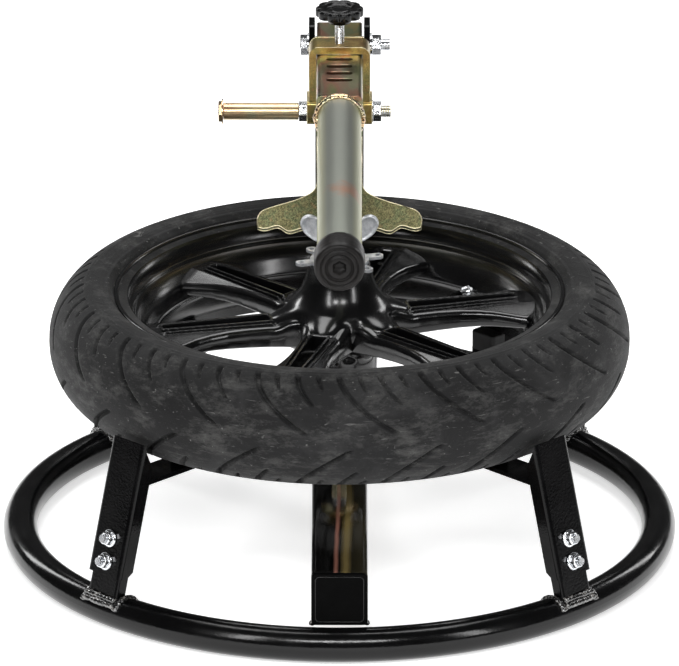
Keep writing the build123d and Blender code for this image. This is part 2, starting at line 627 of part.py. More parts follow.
# rubber cap: stepped face with a hexagonal recess, seen end on
with BuildPart() as grip_cap:
    face = Plane(origin=(0, CAP_FACE, PIVOT_Z), x_dir=(1, 0, 0), z_dir=(0, -1, 0))
    with BuildSketch(face):
        Circle(CAP_R)
    extrude(amount=-CAP_LENGTH)
    fillet(grip_cap.faces().sort_by(Axis.Y)[0].edges(), 2.5)
    with BuildSketch(face.offset(-CAP_LENGTH)):
        Circle(GRIP_R)
    extrude(amount=CAP_LENGTH - (GRIP_FRONT - CAP_FACE), mode=Mode.SUBTRACT)
    with BuildSketch(face):
        Circle(14)
    extrude(amount=-1.2, mode=Mode.SUBTRACT)
    with BuildSketch(face):
        RegularPolygon(6.5, 6)
    extrude(amount=-2.8, mode=Mode.SUBTRACT)
grip_cap.part.label = "grip_cap"
export_step(grip_cap.part, "parts/grip_cap.step")

# ---- yoke --------------------------------------------------------------------------------------
YOKE_FRONT = Plane.XZ.offset(-(YOKE_Y - YOKE_LENGTH / 2))
YOKE_HALF = YOKE_INNER / 2 + YOKE_T
LUG_OUTER = YOKE_INNER / 2 + LUG_T
with BuildPart() as yoke:
    with BuildSketch(YOKE_FRONT):
        with BuildLine():
            Polyline((-YOKE_HALF, YOKE_BOTTOM), (-YOKE_HALF, YOKE_TOP), (YOKE_HALF, YOKE_TOP),
                     (YOKE_HALF, YOKE_BOTTOM), (YOKE_INNER / 2, YOKE_BOTTOM),
                     (YOKE_INNER / 2, YOKE_TOP - YOKE_T), (-YOKE_INNER / 2, YOKE_TOP - YOKE_T),
                     (-YOKE_INNER / 2, YOKE_BOTTOM), close=True)
        make_face()
        fillet(vertices().group_by(Axis.Y)[-1], 10)
        fillet(vertices().group_by(Axis.Y)[-3], 3)
    extrude(amount=-YOKE_LENGTH)
    for side in (-1, 1):
        with BuildSketch(x_plane(side * YOKE_INNER / 2, YOKE_Y, 0, side)):
            with Locations((0, (YOKE_BOTTOM + LUG_TOP) / 2)):
                RectangleRounded(LUG_LENGTH, LUG_TOP - YOKE_BOTTOM, 4)
        extrude(amount=LUG_T)
    with BuildSketch(x_plane(0, YOKE_Y, CROSS_Z)):
        Circle(BOLT_R)
    extrude(amount=LUG_OUTER + 5, both=True, mode=Mode.SUBTRACT)
    with BuildSketch(Plane.XY.offset(YOKE_TOP)):
        with Locations((0, YOKE_Y)):
            Circle(SCREW_R + RUN)
    extrude(amount=-YOKE_T - 1, mode=Mode.SUBTRACT)
yoke.part.label = "yoke"
export_step(yoke.part, "parts/yoke.step")

COLLAR_T = 9.0
PEG_END = LUG_OUTER + COLLAR_T + PEG_LENGTH
cross_bolt = hex_bolt(x_plane(-PEG_END - 0.3, YOKE_Y, CROSS_Z, -1), BOLT_R, PEG_END + LUG_OUTER + 20,
                      19, 5, 13)
cross_bolt.label = "cross_bolt"
export_step(cross_bolt, "parts/cross_bolt.step")
cross_collar = hex_nut(x_plane(-LUG_OUTER, YOKE_Y, CROSS_Z, -1), BOLT_R, 19, COLLAR_T - 0.3)
cross_collar.label = "cross_collar"
export_step(cross_collar, "parts/cross_collar.step")
cross_nut = hex_nut(x_plane(LUG_OUTER, YOKE_Y, CROSS_Z), BOLT_R, 19, 10, 12)
cross_nut.label = "cross_nut"
export_step(cross_nut, "parts/cross_nut.step")

peg_sleeve = ring_part(x_plane(-PEG_END, YOKE_Y, CROSS_Z), PEG_R, BOLT_R + RUN, PEG_LENGTH)
peg_sleeve.label = "peg_sleeve"
export_step(peg_sleeve, "parts/peg_sleeve.step")

# ---- clamp screw and knob ----------------------------------------------------------------------
TIP_STEM_R = 2.0
TIP_STEM = 5.0
TIP_TOP = LEVER_TOP + GAP + 6.0
KNOB_BOTTOM = 473.5
KNOB_HEIGHT = 17.0
KNOB_NECK = 7.0
KNOB_BORE = 12.0
KNOB_LOBES = 10
with BuildPart() as clamp_tip:
    with BuildSketch(Plane.XY.offset(LEVER_TOP + GAP)):
        with Locations((0, YOKE_Y)):
            Circle(SCREW_R - 1)
    extrude(amount=TIP_TOP - LEVER_TOP - GAP)
    with BuildSketch(Plane.XY.offset(TIP_TOP)):
        with Locations((0, YOKE_Y)):
            Circle(TIP_STEM_R)
    extrude(amount=TIP_STEM)
clamp_tip.part.label = "clamp_tip"
export_step(clamp_tip.part, "parts/clamp_tip.step")

with BuildPart() as clamp_screw:
    with BuildSketch(Plane.XY.offset(TIP_TOP + GAP)):
        with Locations((0, YOKE_Y)):
            Circle(SCREW_R)
    extrude(amount=KNOB_BOTTOM + KNOB_BORE - TIP_TOP - GAP)
    with BuildSketch(Plane.XY.offset(TIP_TOP)):
        with Locations((0, YOKE_Y)):
            Circle(TIP_STEM_R + RUN)
    extrude(amount=TIP_STEM + GAP, mode=Mode.SUBTRACT)
clamp_screw.part.label = "clamp_screw"
export_step(clamp_screw.part, "parts/clamp_screw.step")

with BuildPart() as clamp_knob:
    with BuildSketch(Plane.XY.offset(KNOB_BOTTOM)):
        with Locations((0, YOKE_Y)):
            Circle(11)
    extrude(amount=KNOB_NECK)
    with BuildSketch(Plane.XY.offset(KNOB_BOTTOM + KNOB_NECK)):
        with Locations((0, YOKE_Y)):
            Circle(22)
            with PolarLocations(21, KNOB_LOBES):
                Circle(4.2)
    extrude(amount=KNOB_HEIGHT - KNOB_NECK)
    chamfer(clamp_knob.faces().sort_by(Axis.Z)[-1].edges(), 1.0)
    with BuildSketch(Plane.XY.offset(KNOB_BOTTOM)):
        with Locations((0, YOKE_Y)):
            Circle(SCREW_R)
    extrude(amount=KNOB_BORE, mode=Mode.SUBTRACT)
clamp_knob.part.label = "clamp_knob"
export_step(clamp_knob.part, "parts/clamp_knob.step")

# ---- shoe --------------------------------------------------------------------------------------
# The shoe's own plane: x across the stand, y down the shoe from the cross bolt, z out of its front.
swing = radians(SHOE_SWING)
shoe_plane = Plane(origin=(0, YOKE_Y, CROSS_Z), x_dir=(-1, 0, 0),
                   z_dir=(0, -cos(swing), sin(swing)))
BARREL_R = 10.0
with BuildPart() as shoe_plate:
    with BuildSketch(shoe_plane):
        with BuildLine():
            Line((0, 0), (SHANK_WIDTH / 2, 0))
            Line((SHANK_WIDTH / 2, 0), (SHANK_WIDTH / 2, 82))
            Spline((SHANK_WIDTH / 2, 82), (33, 98), (56, 107.5), (73, 113), tangents=((0, 1), (1, 0.35)))
            Spline((73, 113), (82, 118.5), (WING_HALF, 127), (WING_HALF - 1, 134.5),
                   tangents=((1, 0.35), (-0.1, 1)))
            Spline((WING_HALF - 1, 134.5), (74, 135.5), (63, 133), (53, SHOE_LENGTH), (42, 136.5),
                   (28, 135), (14, SHOE_LENGTH), (0, 136.5))
            mirror(about=Plane.YZ)
        make_face()
    extrude(amount=SHOE_T / 2, both=True)
    with BuildSketch(x_plane(0, YOKE_Y, CROSS_Z)):
        Circle(BARREL_R)
    extrude(amount=SHANK_WIDTH, both=True, mode=Mode.SUBTRACT)
shoe_plate.part.label = "shoe_plate"
export_step(shoe_plate.part, "parts/shoe_plate.step")

shoe_barrel = ring_part(x_plane(-SHANK_WIDTH / 2, YOKE_Y, CROSS_Z), BARREL_R, BOLT_R + RUN, SHANK_WIDTH)
shoe_barrel.label = "shoe_barrel"
export_step(shoe_barrel, "parts/shoe_barrel.step")
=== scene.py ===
"""Looks of a motorcycle tyre changing stand with a clamped wheel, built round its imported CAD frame.

Metres, +Z up. The origin is on the floor at the middle of the round base, and the lever points to -Y.
Sections of the tyre and the wheel are in millimetres, with heights from the wheel's middle plane.
"""

import json
import math
import random

import bmesh
import bpy
import numpy as np
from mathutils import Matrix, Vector


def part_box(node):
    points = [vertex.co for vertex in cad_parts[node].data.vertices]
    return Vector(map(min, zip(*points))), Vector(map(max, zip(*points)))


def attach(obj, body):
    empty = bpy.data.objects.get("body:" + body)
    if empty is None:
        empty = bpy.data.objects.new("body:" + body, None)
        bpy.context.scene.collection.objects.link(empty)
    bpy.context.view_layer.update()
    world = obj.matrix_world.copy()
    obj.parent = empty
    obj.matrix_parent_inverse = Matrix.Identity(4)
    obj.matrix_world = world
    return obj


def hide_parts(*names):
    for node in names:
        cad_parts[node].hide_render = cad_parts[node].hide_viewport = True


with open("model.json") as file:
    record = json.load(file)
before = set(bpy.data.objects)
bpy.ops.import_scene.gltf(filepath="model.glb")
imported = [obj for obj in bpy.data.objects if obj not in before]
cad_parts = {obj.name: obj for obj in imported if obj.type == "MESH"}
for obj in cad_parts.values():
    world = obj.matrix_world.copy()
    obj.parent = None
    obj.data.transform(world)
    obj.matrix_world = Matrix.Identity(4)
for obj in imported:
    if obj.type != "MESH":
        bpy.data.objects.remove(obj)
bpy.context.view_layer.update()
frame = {"nodes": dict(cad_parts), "record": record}
NODES = frame["nodes"]
MM = 0.001

# places read from the frame
TYRE_LOW, TYRE_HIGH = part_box("tyre")
WHEEL_Z = (TYRE_LOW.z + TYRE_HIGH.z) / 2
TYRE_R = TYRE_HIGH.x / MM  # millimetres


# ---- shader helpers ----
class Shader:
    """A node material on one Principled surface, with short calls for the usual node chains."""

    def __init__(self, name, metallic=0.0, **sockets):
        self.material = bpy.data.materials.new(name)
        self.material.use_nodes = True
        self.tree = self.material.node_tree
        self.surface = self.tree.nodes["Principled BSDF"]
        self.surface.inputs["Metallic"].default_value = metallic
        for socket, value in sockets.items():
            self.surface.inputs[socket.replace("_", " ")].default_value = value
        self.place = self.tree.nodes.new("ShaderNodeTexCoord").outputs["Object"]

    def link(self, source, target):
        self.tree.links.new(source, target)

    def scaled(self, factors):
        """Object coordinates stretched by a factor along each axis."""
        mapping = self.tree.nodes.new("ShaderNodeMapping")
        mapping.inputs["Scale"].default_value = factors
        self.link(self.place, mapping.inputs["Vector"])
        return mapping.outputs["Vector"]

    def noise(self, scale, detail=3.0, rough=0.5, distortion=0.0, at=None):
        node = self.tree.nodes.new("ShaderNodeTexNoise")
        node.inputs["Scale"].default_value = scale
        node.inputs["Detail"].default_value = detail
        node.inputs["Roughness"].default_value = rough
        node.inputs["Distortion"].default_value = distortion
        self.link(at or self.place, node.inputs["Vector"])
        return node.outputs["Fac"]

    def cells(self, scale):
        """A colour for each cell of a Voronoi pattern."""
        node = self.tree.nodes.new("ShaderNodeTexVoronoi")
        node.inputs["Scale"].default_value = scale
        self.link(self.place, node.inputs["Vector"])
        return node.outputs["Color"]

    def ramp(self, factor, stops):
        """Colours by position: stops are (position, (r, g, b))."""
        node = self.tree.nodes.new("ShaderNodeValToRGB")
        ramp = node.color_ramp
        while len(ramp.elements) < len(stops):
            ramp.elements.new(0.5)
        for element, (position, colour) in zip(ramp.elements, stops):
            element.position = position
            element.color = (*colour, 1.0)
        self.link(factor, node.inputs["Fac"])
        return node.outputs["Color"]

    def spread(self, factor, low, high, start=0.3, end=0.7):
        """Maps a noise's middle stretch to low..high."""
        node = self.tree.nodes.new("ShaderNodeMapRange")
        node.inputs["From Min"].default_value = start
        node.inputs["From Max"].default_value = end
        node.inputs["To Min"].default_value = low
        node.inputs["To Max"].default_value = high
        self.link(factor, node.inputs["Value"])
        return node.outputs["Result"]

    def mix(self, factor, first, second, kind="MIX"):
        """Blends two colours, each a node's output or an (r, g, b) value."""
        node = self.tree.nodes.new("ShaderNodeMix")
        node.data_type = "RGBA"
        node.blend_type = kind
        factor_in, first_in, second_in = node.inputs[0], node.inputs[6], node.inputs[7]
        for socket, value in ((factor_in, factor), (first_in, first), (second_in, second)):
            if isinstance(value, (int, float)):
                socket.default_value = value
            elif isinstance(value, tuple):
                socket.default_value = (*value, 1.0)
            else:
                self.link(value, socket)
        return node.outputs[2]

    def coordinate(self, axis):
        node = self.tree.nodes.new("ShaderNodeSeparateXYZ")
        self.link(self.place, node.inputs["Vector"])
        return node.outputs[axis]

    def near(self, spot, inner, outer, wobble):
        """1 close to a place and 0 away from it, with a noisy border."""
        node = self.tree.nodes.new("ShaderNodeVectorMath")
        node.operation = "DISTANCE"
        node.inputs[1].default_value = spot
        self.link(self.place, node.inputs[0])
        shift = self.spread(self.noise(60, 4), -wobble, wobble)
        return self.spread(self.math("ADD", node.outputs["Value"], shift), 1.0, 0.0, inner, outer)

    def math(self, kind, first, second=0.0):
        node = self.tree.nodes.new("ShaderNodeMath")
        node.operation = kind
        for socket, value in zip(node.inputs, (first, second)):
            if isinstance(value, (int, float)):
                socket.default_value = value
            else:
                self.link(value, socket)
        return node.outputs["Value"]

    def bump(self, height, distance, strength, after=None):
        """Adds relief to the surface, on top of an earlier bump if one is given."""
        node = self.tree.nodes.new("ShaderNodeBump")
        node.inputs["Distance"].default_value = distance
        node.inputs["Strength"].default_value = strength
        self.link(height, node.inputs["Height"])
        if after:
            self.link(after, node.inputs["Normal"])
        self.link(node.outputs["Normal"], self.surface.inputs["Normal"])
        return node.outputs["Normal"]

    def colour(self, output):
        self.link(output, self.surface.inputs["Base Color"])

    def rough(self, output):
        self.link(output, self.surface.inputs["Roughness"])


# ---- materials ----
def powder_coat(name, level, smooth, rough):
    """Gloss black powder coat: faint orange peel, dust and handling marks."""
    shade = Shader(name, Coat_Weight=0.06, Coat_Roughness=0.04, Specular_IOR_Level=level)
    dust = shade.noise(9, 5, 0.6)
    shade.colour(shade.ramp(dust, [(0.35, (0.0010, 0.0010, 0.0011)), (0.75, (0.0032, 0.0032, 0.0035))]))
    shade.rough(shade.spread(shade.noise(26, 4), smooth, rough))
    peel = shade.bump(shade.noise(420, 2), 0.00025, 0.35)
    shade.bump(shade.noise(60, 2), 0.0006, 0.10, peel)
    return shade.material


def weld_coat_and_glints():
    """Powder coat over weld beads: thick and very glossy, with painted glints: pale grey patches over the
    beads.
    """
    shade = Shader("weld_coat_and_glints", Specular_IOR_Level=1.0, Coat_Weight=1.0, Coat_Roughness=0.04)
    # painted glints: pale grey patches in the black base colour
    painted_glints = shade.ramp(shade.noise(190, 3, 0.7), [(0.52, (0.004, 0.004, 0.004)), (0.62, (0.20, 0.19, 0.18))])
    shade.colour(painted_glints)
    shade.rough(shade.spread(shade.noise(200, 3), 0.08, 0.25))
    shade.bump(shade.noise(380, 3), 0.0008, 0.6)
    return shade.material


def rail_coat_and_reflection():
    """The rail's coat: glossier, with painted reflections of plated metal: olive, gold and rose streaks along
    the middle of its width.
    """
    # painted reflection: where the rose and gold streaks lie across the rail
    rose_reflection_x = -0.003
    gold_reflection_x = 0.0075
    shade = Shader("rail_coat_and_reflection", Specular_IOR_Level=0.8, Coat_Weight=0.1, Coat_Roughness=0.03)
    x = shade.coordinate("X")
    wave = shade.spread(shade.noise(14, 3, at=shade.scaled((1, 0.35, 1))), -0.0025, 0.0025)
    off_rose_reflection = shade.math("ABSOLUTE", shade.math("ADD", shade.math("ADD", x, -rose_reflection_x), wave))
    off_gold_reflection = shade.math("ABSOLUTE", shade.math("ADD", shade.math("ADD", x, -gold_reflection_x), wave))
    dust = shade.noise(9, 5, 0.6)
    black = shade.ramp(dust, [(0.35, (0.0010, 0.0010, 0.0011)), (0.75, (0.0045, 0.0042, 0.0035))])
    # painted reflection: olive, then gold, then rose streaks over the black coat
    olive_reflection = shade.mix(shade.spread(x, 0.0, 0.9, -0.002, 0.020), black, (0.028, 0.024, 0.013))
    gold_reflection = shade.mix(shade.spread(off_gold_reflection, 0.85, 0.0, 0.001, 0.0065), olive_reflection, (0.200, 0.150, 0.055))
    shade.colour(shade.mix(shade.spread(off_rose_reflection, 0.9, 0.0, 0.0005, 0.0032), gold_reflection, (0.300, 0.130, 0.095)))
    shade.rough(shade.spread(shade.noise(26, 4), 0.03, 0.07))
    shade.bump(shade.noise(420, 2), 0.00015, 0.2)
    return shade.material


def yellow_zinc(name, stops, scale, stretch, low, high, speckle=0.25):
    """Iridescent yellow zinc: drifting tints with bright crystals; low and high bound its roughness."""
    shade = Shader(name, metallic=1.0, Coat_Weight=0.45, Coat_Roughness=0.25)
    drift = shade.noise(scale, 3, 0.55, 0.6, at=shade.scaled(stretch))
    tint = shade.ramp(drift, stops)
    sparkle = shade.ramp(shade.cells(900), [(0.2, (0.35, 0.35, 0.33)), (0.9, (1.5, 1.45, 1.3))])
    shade.colour(shade.mix(speckle, tint, shade.mix(1.0, tint, sparkle, "MULTIPLY")))
    shade.rough(shade.spread(shade.noise(14, 3), low, high))
    shade.bump(shade.noise(520, 3), 0.0003, 0.10)
    return shade.material


# tints of the plating, as (position, colour) stops for a noise
GOLD_STOPS = [(0.30, (0.34, 0.20, 0.06)), (0.44, (0.54, 0.38, 0.12)), (0.54, (0.33, 0.30, 0.11)),
              (0.64, (0.56, 0.30, 0.13)), (0.74, (0.44, 0.22, 0.15))]
LEVER_STOPS = [(0.32, (0.36, 0.25, 0.08)), (0.43, (0.22, 0.25, 0.11)), (0.52, (0.30, 0.28, 0.17)),
               (0.60, (0.40, 0.19, 0.12)), (0.70, (0.24, 0.27, 0.10))]
GREY_STOPS = [(0.30, (0.34, 0.34, 0.28)), (0.46, (0.31, 0.32, 0.29)), (0.60, (0.29, 0.31, 0.26)),
              (0.78, (0.35, 0.33, 0.23))]
OLIVE_STOPS = [(0.28, (0.20, 0.20, 0.10)), (0.42, (0.28, 0.26, 0.14)), (0.54, (0.21, 0.24, 0.13)),
               (0.66, (0.30, 0.24, 0.13)), (0.78, (0.24, 0.19, 0.12))]
# pale tints for the painted highlights along sheared edges
EDGE_HIGHLIGHT_STOPS = [(0.30, (0.95, 0.85, 0.60)), (0.50, (0.80, 0.74, 0.48)), (0.70, (0.95, 0.80, 0.62))]
ROSE_STOPS = [(0.30, (0.58, 0.32, 0.19)), (0.48, (0.62, 0.45, 0.26)), (0.60, (0.48, 0.46, 0.30)),
              (0.74, (0.60, 0.31, 0.26))]


def grip_zinc():
    """The grip tube's plate: even grey along the middle, a painted reflection in greenish yellow at the
    sides, one rosy patch.
    """
    patch = (0.010, -0.155, 0.440)
    shade = Shader("grey_zinc", metallic=1.0, Coat_Weight=0.4, Coat_Roughness=0.25)
    tint = shade.ramp(shade.noise(7, 2, 0.5, 0.1, at=shade.scaled((1, 0.15, 1))), GREY_STOPS)
    # painted reflection: greenish yellow towards both sides of the tube
    flank = shade.math("ABSOLUTE", shade.coordinate("X"))
    tint = shade.mix(shade.spread(flank, 0.0, 0.8, 0.012, 0.0215), tint, (0.30, 0.30, 0.11))
    tint = shade.mix(shade.near(patch, 0.004, 0.026, 0.012), tint, (0.42, 0.25, 0.18))
    shade.colour(tint)
    shade.rough(shade.spread(shade.noise(9, 2), 0.42, 0.50))
    shade.bump(shade.noise(520, 3), 0.0003, 0.08)
    return shade.material


def bright_zinc():
    """Clear zinc plate on fasteners."""
    shade = Shader("bright_zinc", metallic=1.0)
    shade.colour(shade.ramp(shade.noise(160, 4), [(0.35, (0.66, 0.68, 0.71)), (0.7, (0.90, 0.91, 0.92))]))
    shade.rough(shade.spread(shade.noise(300, 3), 0.10, 0.24))
    shade.bump(shade.noise(900, 2), 0.0002, 0.2)
    return shade.material


def cast_alloy():
    """Tumbled casting: pale, matt and mottled."""
    shade = Shader("cast_alloy", metallic=0.85)
    mottle = shade.noise(220, 5, 0.6)
    shade.colour(shade.ramp(mottle, [(0.35, (0.52, 0.54, 0.57)), (0.68, (0.80, 0.81, 0.83))]))
    shade.rough(shade.spread(shade.noise(120, 3), 0.34, 0.5))
    shade.bump(shade.noise(700, 3), 0.0005, 0.35)
    return shade.material


def wheel_paint():
    """Satin black over the grain of a casting."""
    shade = Shader("wheel_black", Specular_IOR_Level=0.6)
    dust = shade.noise(14, 4)
    shade.colour(shade.ramp(dust, [(0.3, (0.0010, 0.0010, 0.0011)), (0.75, (0.0030, 0.0030, 0.0033))]))
    shade.rough(shade.spread(shade.noise(40, 4), 0.15, 0.25))
    shade.bump(shade.noise(650, 3), 0.0003, 0.07)
    return shade.material


def tyre_rubber():
    """Scuffed road tyre: grey-black rubber with dusty streaks along the tread and pale scratches."""
    shade = Shader("tyre_rubber", Specular_IOR_Level=0.22, Sheen_Weight=0.04, Sheen_Roughness=0.5)
    cloud = shade.noise(11, 6, 0.62, 0.3)
    base = shade.ramp(cloud, [(0.32, (0.004, 0.004, 0.0042)), (0.52, (0.010, 0.010, 0.0103)),
                              (0.75, (0.040, 0.040, 0.0405))])
    streak = shade.noise(21, 10, 0.80, 0.2, at=shade.scaled((1, 1, 2.6)))
    dusty = shade.ramp(streak, [(0.50, (0, 0, 0)), (0.78, (1, 1, 1))])
    dirt = shade.mix(dusty, base, (0.090, 0.089, 0.086))
    scratch = shade.noise(60, 3, 0.6, 0.8, at=shade.scaled((1, 1, 9)))
    scratches = shade.ramp(scratch, [(0.66, (0, 0, 0)), (0.73, (1, 1, 1))])
    dirt = shade.mix(scratches, dirt, (0.105, 0.104, 0.101))
    specks = shade.ramp(shade.noise(260, 2, 0.5), [(0.70, (0, 0, 0)), (0.80, (1, 1, 1))])
    shade.colour(shade.mix(specks, dirt, (0.15, 0.148, 0.145)))
    shade.rough(shade.spread(cloud, 0.62, 0.86))
    grain = shade.bump(shade.noise(900, 4), 0.0005, 0.5)
    shade.bump(shade.noise(55, 5, 0.6), 0.0016, 0.22, grain)
    return shade.material


def soft_rubber(name, dark, light, low, high):
    """Matt rubber between two greys."""
    shade = Shader(name, Specular_IOR_Level=0.18)
    shade.colour(shade.ramp(shade.noise(60, 5), [(0.3, dark), (0.75, light)]))
    shade.rough(shade.spread(shade.noise(120, 3), low, high))
    shade.bump(shade.noise(1100, 3), 0.0003, 0.3)
    return shade.material


def moulded_plastic(name, low, high, level, gloss):
    """Black plastic; level is its darkest grey."""
    shade = Shader(name, Specular_IOR_Level=gloss)
    light = (level * 2.2, level * 2.2, level * 2.3)
    shade.colour(shade.ramp(shade.noise(50, 4), [(0.3, (level, level, level)), (0.75, light)]))
    shade.rough(shade.spread(shade.noise(90, 3), low, high))
    shade.bump(shade.noise(600, 2), 0.0002, 0.25)
    return shade.material


def bearing_steel():
    """Ground steel."""
    shade = Shader("bearing_steel", metallic=1.0)
    shade.colour(shade.ramp(shade.noise(200, 3), [(0.3, (0.42, 0.42, 0.43)), (0.7, (0.62, 0.62, 0.63))]))
    shade.rough(shade.spread(shade.noise(400, 2), 0.2, 0.35))
    return shade.material


MATERIALS = {
    "black_powder_coat": powder_coat("black_powder_coat", 0.16, 0.09, 0.22),
    "ring_coat": powder_coat("ring_coat", 0.34, 0.12, 0.24),
    "weld_coat_and_glints": weld_coat_and_glints(),
    "rail_coat_and_reflection": rail_coat_and_reflection(),
    "gold_zinc": yellow_zinc("gold_zinc", GOLD_STOPS, 30, (1, 1, 1), 0.22, 0.38),
    "lever_zinc": yellow_zinc("lever_zinc", LEVER_STOPS, 26, (1, 0.4, 1), 0.26, 0.40, 0.15),
    "grey_zinc": grip_zinc(),
    "olive_zinc": yellow_zinc("olive_zinc", OLIVE_STOPS, 75, (1, 1, 1), 0.34, 0.52, 0.8),
    "rose_zinc": yellow_zinc("rose_zinc", ROSE_STOPS, 30, (0.5, 1, 1), 0.22, 0.38, 0.15),
    # painted highlight along the sheared edges of the shoe and the yoke
    "edge_highlight_zinc": yellow_zinc("edge_highlight_zinc", EDGE_HIGHLIGHT_STOPS, 40, (1, 1, 1), 0.30, 0.45),
    "bright_zinc": bright_zinc(),
    "cast_alloy": cast_alloy(),
    "wheel_black": wheel_paint(),
    "tyre_rubber": tyre_rubber(),
    "pad_rubber": soft_rubber("pad_rubber", (0.010, 0.010, 0.010), (0.024, 0.024, 0.024), 0.5, 0.7),
    "cap_rubber": soft_rubber("cap_rubber", (0.004, 0.0036, 0.0034), (0.012, 0.0105, 0.010), 0.30, 0.46),
    "knob_plastic": moulded_plastic("knob_plastic", 0.14, 0.26, 0.002, 0.3),
    "cap_plastic": moulded_plastic("cap_plastic", 0.26, 0.38, 0.0008, 0.03),
    "bearing_steel": bearing_steel(),
}

# finishes that differ from the name of their slot, then nodes that differ from the rest of theirs
SLOT_FINISH = {"yellow_zinc": "gold_zinc"}
NODE_FINISH = {"cross_rail": "rail_coat_and_reflection", "base_ring": "ring_coat", "lever_tube": "lever_zinc",
               "grip_tube": "grey_zinc", "shoe_plate": "olive_zinc", "shoe_barrel": "olive_zinc",
               "peg_sleeve": "rose_zinc", "cross_bolt": "rose_zinc", "centre_shaft": "rose_zinc"}


def dress_cad_nodes():
    """Gives every CAD node the finish of its material slot, or its own."""
    for entry in frame["record"]["subparts"]:
        slot = entry["material_slot"]
        finish = NODE_FINISH.get(entry["node"], SLOT_FINISH.get(slot, slot))
        mesh = NODES[entry["node"]].data
        mesh.materials.clear()
        mesh.materials.append(MATERIALS[finish])


dress_cad_nodes()


# ---- mesh helpers ----
def mesh_object(name, points, faces, finish):
    """Smooth-shaded object from points and faces, not yet on a body."""
    mesh = bpy.data.meshes.new(name)
    mesh.from_pydata([tuple(p) for p in points], [], faces)
    mesh.validate()
    mesh.update()
    piece = bpy.data.objects.new(name, mesh)
    bpy.context.scene.collection.objects.link(piece)
    mesh.materials.append(MATERIALS[finish])
    mesh.polygons.foreach_set("use_smooth", [True] * len(mesh.polygons))
    return piece


def turn(columns):
    """Evenly spaced angles of one full turn."""
    return np.linspace(0, 2 * np.pi, columns, endpoint=False)


def grid_faces(rows, columns, wrap_rows=False, wrap_columns=False, flip=False):
    """Quads between the points of a rows x columns grid stored row by row."""
    faces = []
    for i in range(rows if wrap_rows else rows - 1):
        for j in range(columns if wrap_columns else columns - 1):
            a = i * columns + j
            b = i * columns + (j + 1) % columns
            c = (i + 1) % rows * columns + (j + 1) % columns
            d = (i + 1) % rows * columns + j
            faces.append((a, d, c, b) if flip else (a, b, c, d))
    return faces


def end_faces(rows, columns, start=0):
    """Two faces that close the ends of a tube whose points are stored row by row from start."""
    first = tuple(start + j for j in range(columns))
    last = tuple(start + (rows - 1) * columns + j for j in reversed(range(columns)))
    return [first, last]


def place(piece, body, slot, *nodes):
    """Rides a finished piece on its body and hides the CAD nodes it stands for; slot is not used."""
    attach(piece, body)
    if nodes:
        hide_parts(*nodes)


def smooth_line(corners, per_span):
    """Catmull-Rom curve through the corners, as an array of points."""
    pts = np.array([corners[0], *corners, corners[-1]], float)
    line = []
    for k in range(1, len(pts) - 2):
        p0, p1, p2, p3 = pts[k - 1:k + 3]
        for t in np.linspace(0, 1, per_span, endpoint=False):
            line.append(0.5 * (2 * p1 + (p2 - p0) * t + (2 * p0 - 5 * p1 + 4 * p2 - p3) * t * t
                               + (3 * p1 - p0 - 3 * p2 + p3) * t ** 3))
    line.append(pts[-2])
    return np.array(line)


def resample(line, step):
    """Points along a polyline at an even step, keeping its two ends, and their distances along it."""
    gaps = np.hypot(*np.diff(line, axis=0).T)
    along = np.concatenate([[0], np.cumsum(gaps)])
    count = int(round(along[-1] / step)) + 1
    at = np.linspace(0, along[-1], count)
    return np.column_stack([np.interp(at, along, line[:, k]) for k in range(line.shape[1])]), at


def lathe(name, profile, columns, finish):
    """Closed ring turned about the Z axis from (radius, z) points."""
    angle = turn(columns)
    radius, height = np.array(profile, float).T
    x = radius[:, None] * np.cos(angle)
    y = radius[:, None] * np.sin(angle)
    z = np.repeat(height[:, None], columns, axis=1)
    points = np.stack([x, y, z], -1).reshape(-1, 3)
    faces = grid_faces(len(profile), columns, wrap_rows=True, wrap_columns=True, flip=True)
    return mesh_object(name, points, faces, finish)


# ---- tyre ----
def smoothstep(x, low, high):
    """0 below low, 1 above high and a smooth rise between."""
    t = np.clip((x - low) / (high - low), 0, 1)
    return t * t * (3 - 2 * t)


def band(x, rise_from, rise_to, fall_from, fall_to):
    """0 to 1 over the first stretch and back to 0 over the second."""
    return smoothstep(x, rise_from, rise_to) * (1 - smoothstep(x, fall_from, fall_to))


TYRE_COLUMNS = 1480
TYRE_ROW = 1.2  # between rows of points across the tread
GROOVE_PERIODS = 20
# each groove of a period: place in the period, outer and inner end (mm from the crown), sweep, width, depth
GROOVES = ((0.00, 70, 9, 58, 6.4, 6.4), (0.25, 69, 53, 5, 5.2, 5.4),
           (0.50, 70, 38, 18, 6.0, 6.0), (0.75, 69, 55, 5, 5.0, 5.2))
# moulded rings on each sidewall: place (mm from the crown), height and width
SIDE_RINGS = ((97, 0.9, 1.6), (91.5, 0.35, 0.8), (88.5, 0.35, 0.8), (78.0, 0.7, 1.3), (74.5, 0.5, 0.9))
SIDE_BARS = 40  # slanting bars moulded round each sidewall
BAR_HEIGHT = 0.45
BAR_LEAN = 1.4


def groove_depth(around, across, radius):
    """Depth of the tread pattern (mm) at a place round the tyre (rad) and across it (mm from the crown)."""
    pitch = 2 * np.pi * radius / GROOVE_PERIODS
    depth = np.zeros(np.broadcast(around, across).shape)
    for side in (-1, 1):
        offside = 0.0 if side < 0 else 0.5  # the two halves of the pattern are staggered
        for start, outer, inner, sweep, width, cut in GROOVES:
            run = np.clip((outer - side * across) / (outer - inner), 0, 1)
            centre = (start + offside) * pitch + sweep * run ** 1.7
            gap = (around * radius - centre + pitch / 2) % pitch - pitch / 2
            slope = 1.7 * sweep / (outer - inner) * run ** 0.7
            away = np.abs(gap) / np.sqrt(1 + slope ** 2)
            half = width / 2 * (1 - 0.5 * run)
            wall = 1 - smoothstep(away, half * 0.65, half + 0.5)
            ends = band(side * across, inner - 2, inner + 3, outer - 1, outer + 3)
            depth = np.maximum(depth, cut * wall * ends * (1 - 0.3 * run))
    return depth


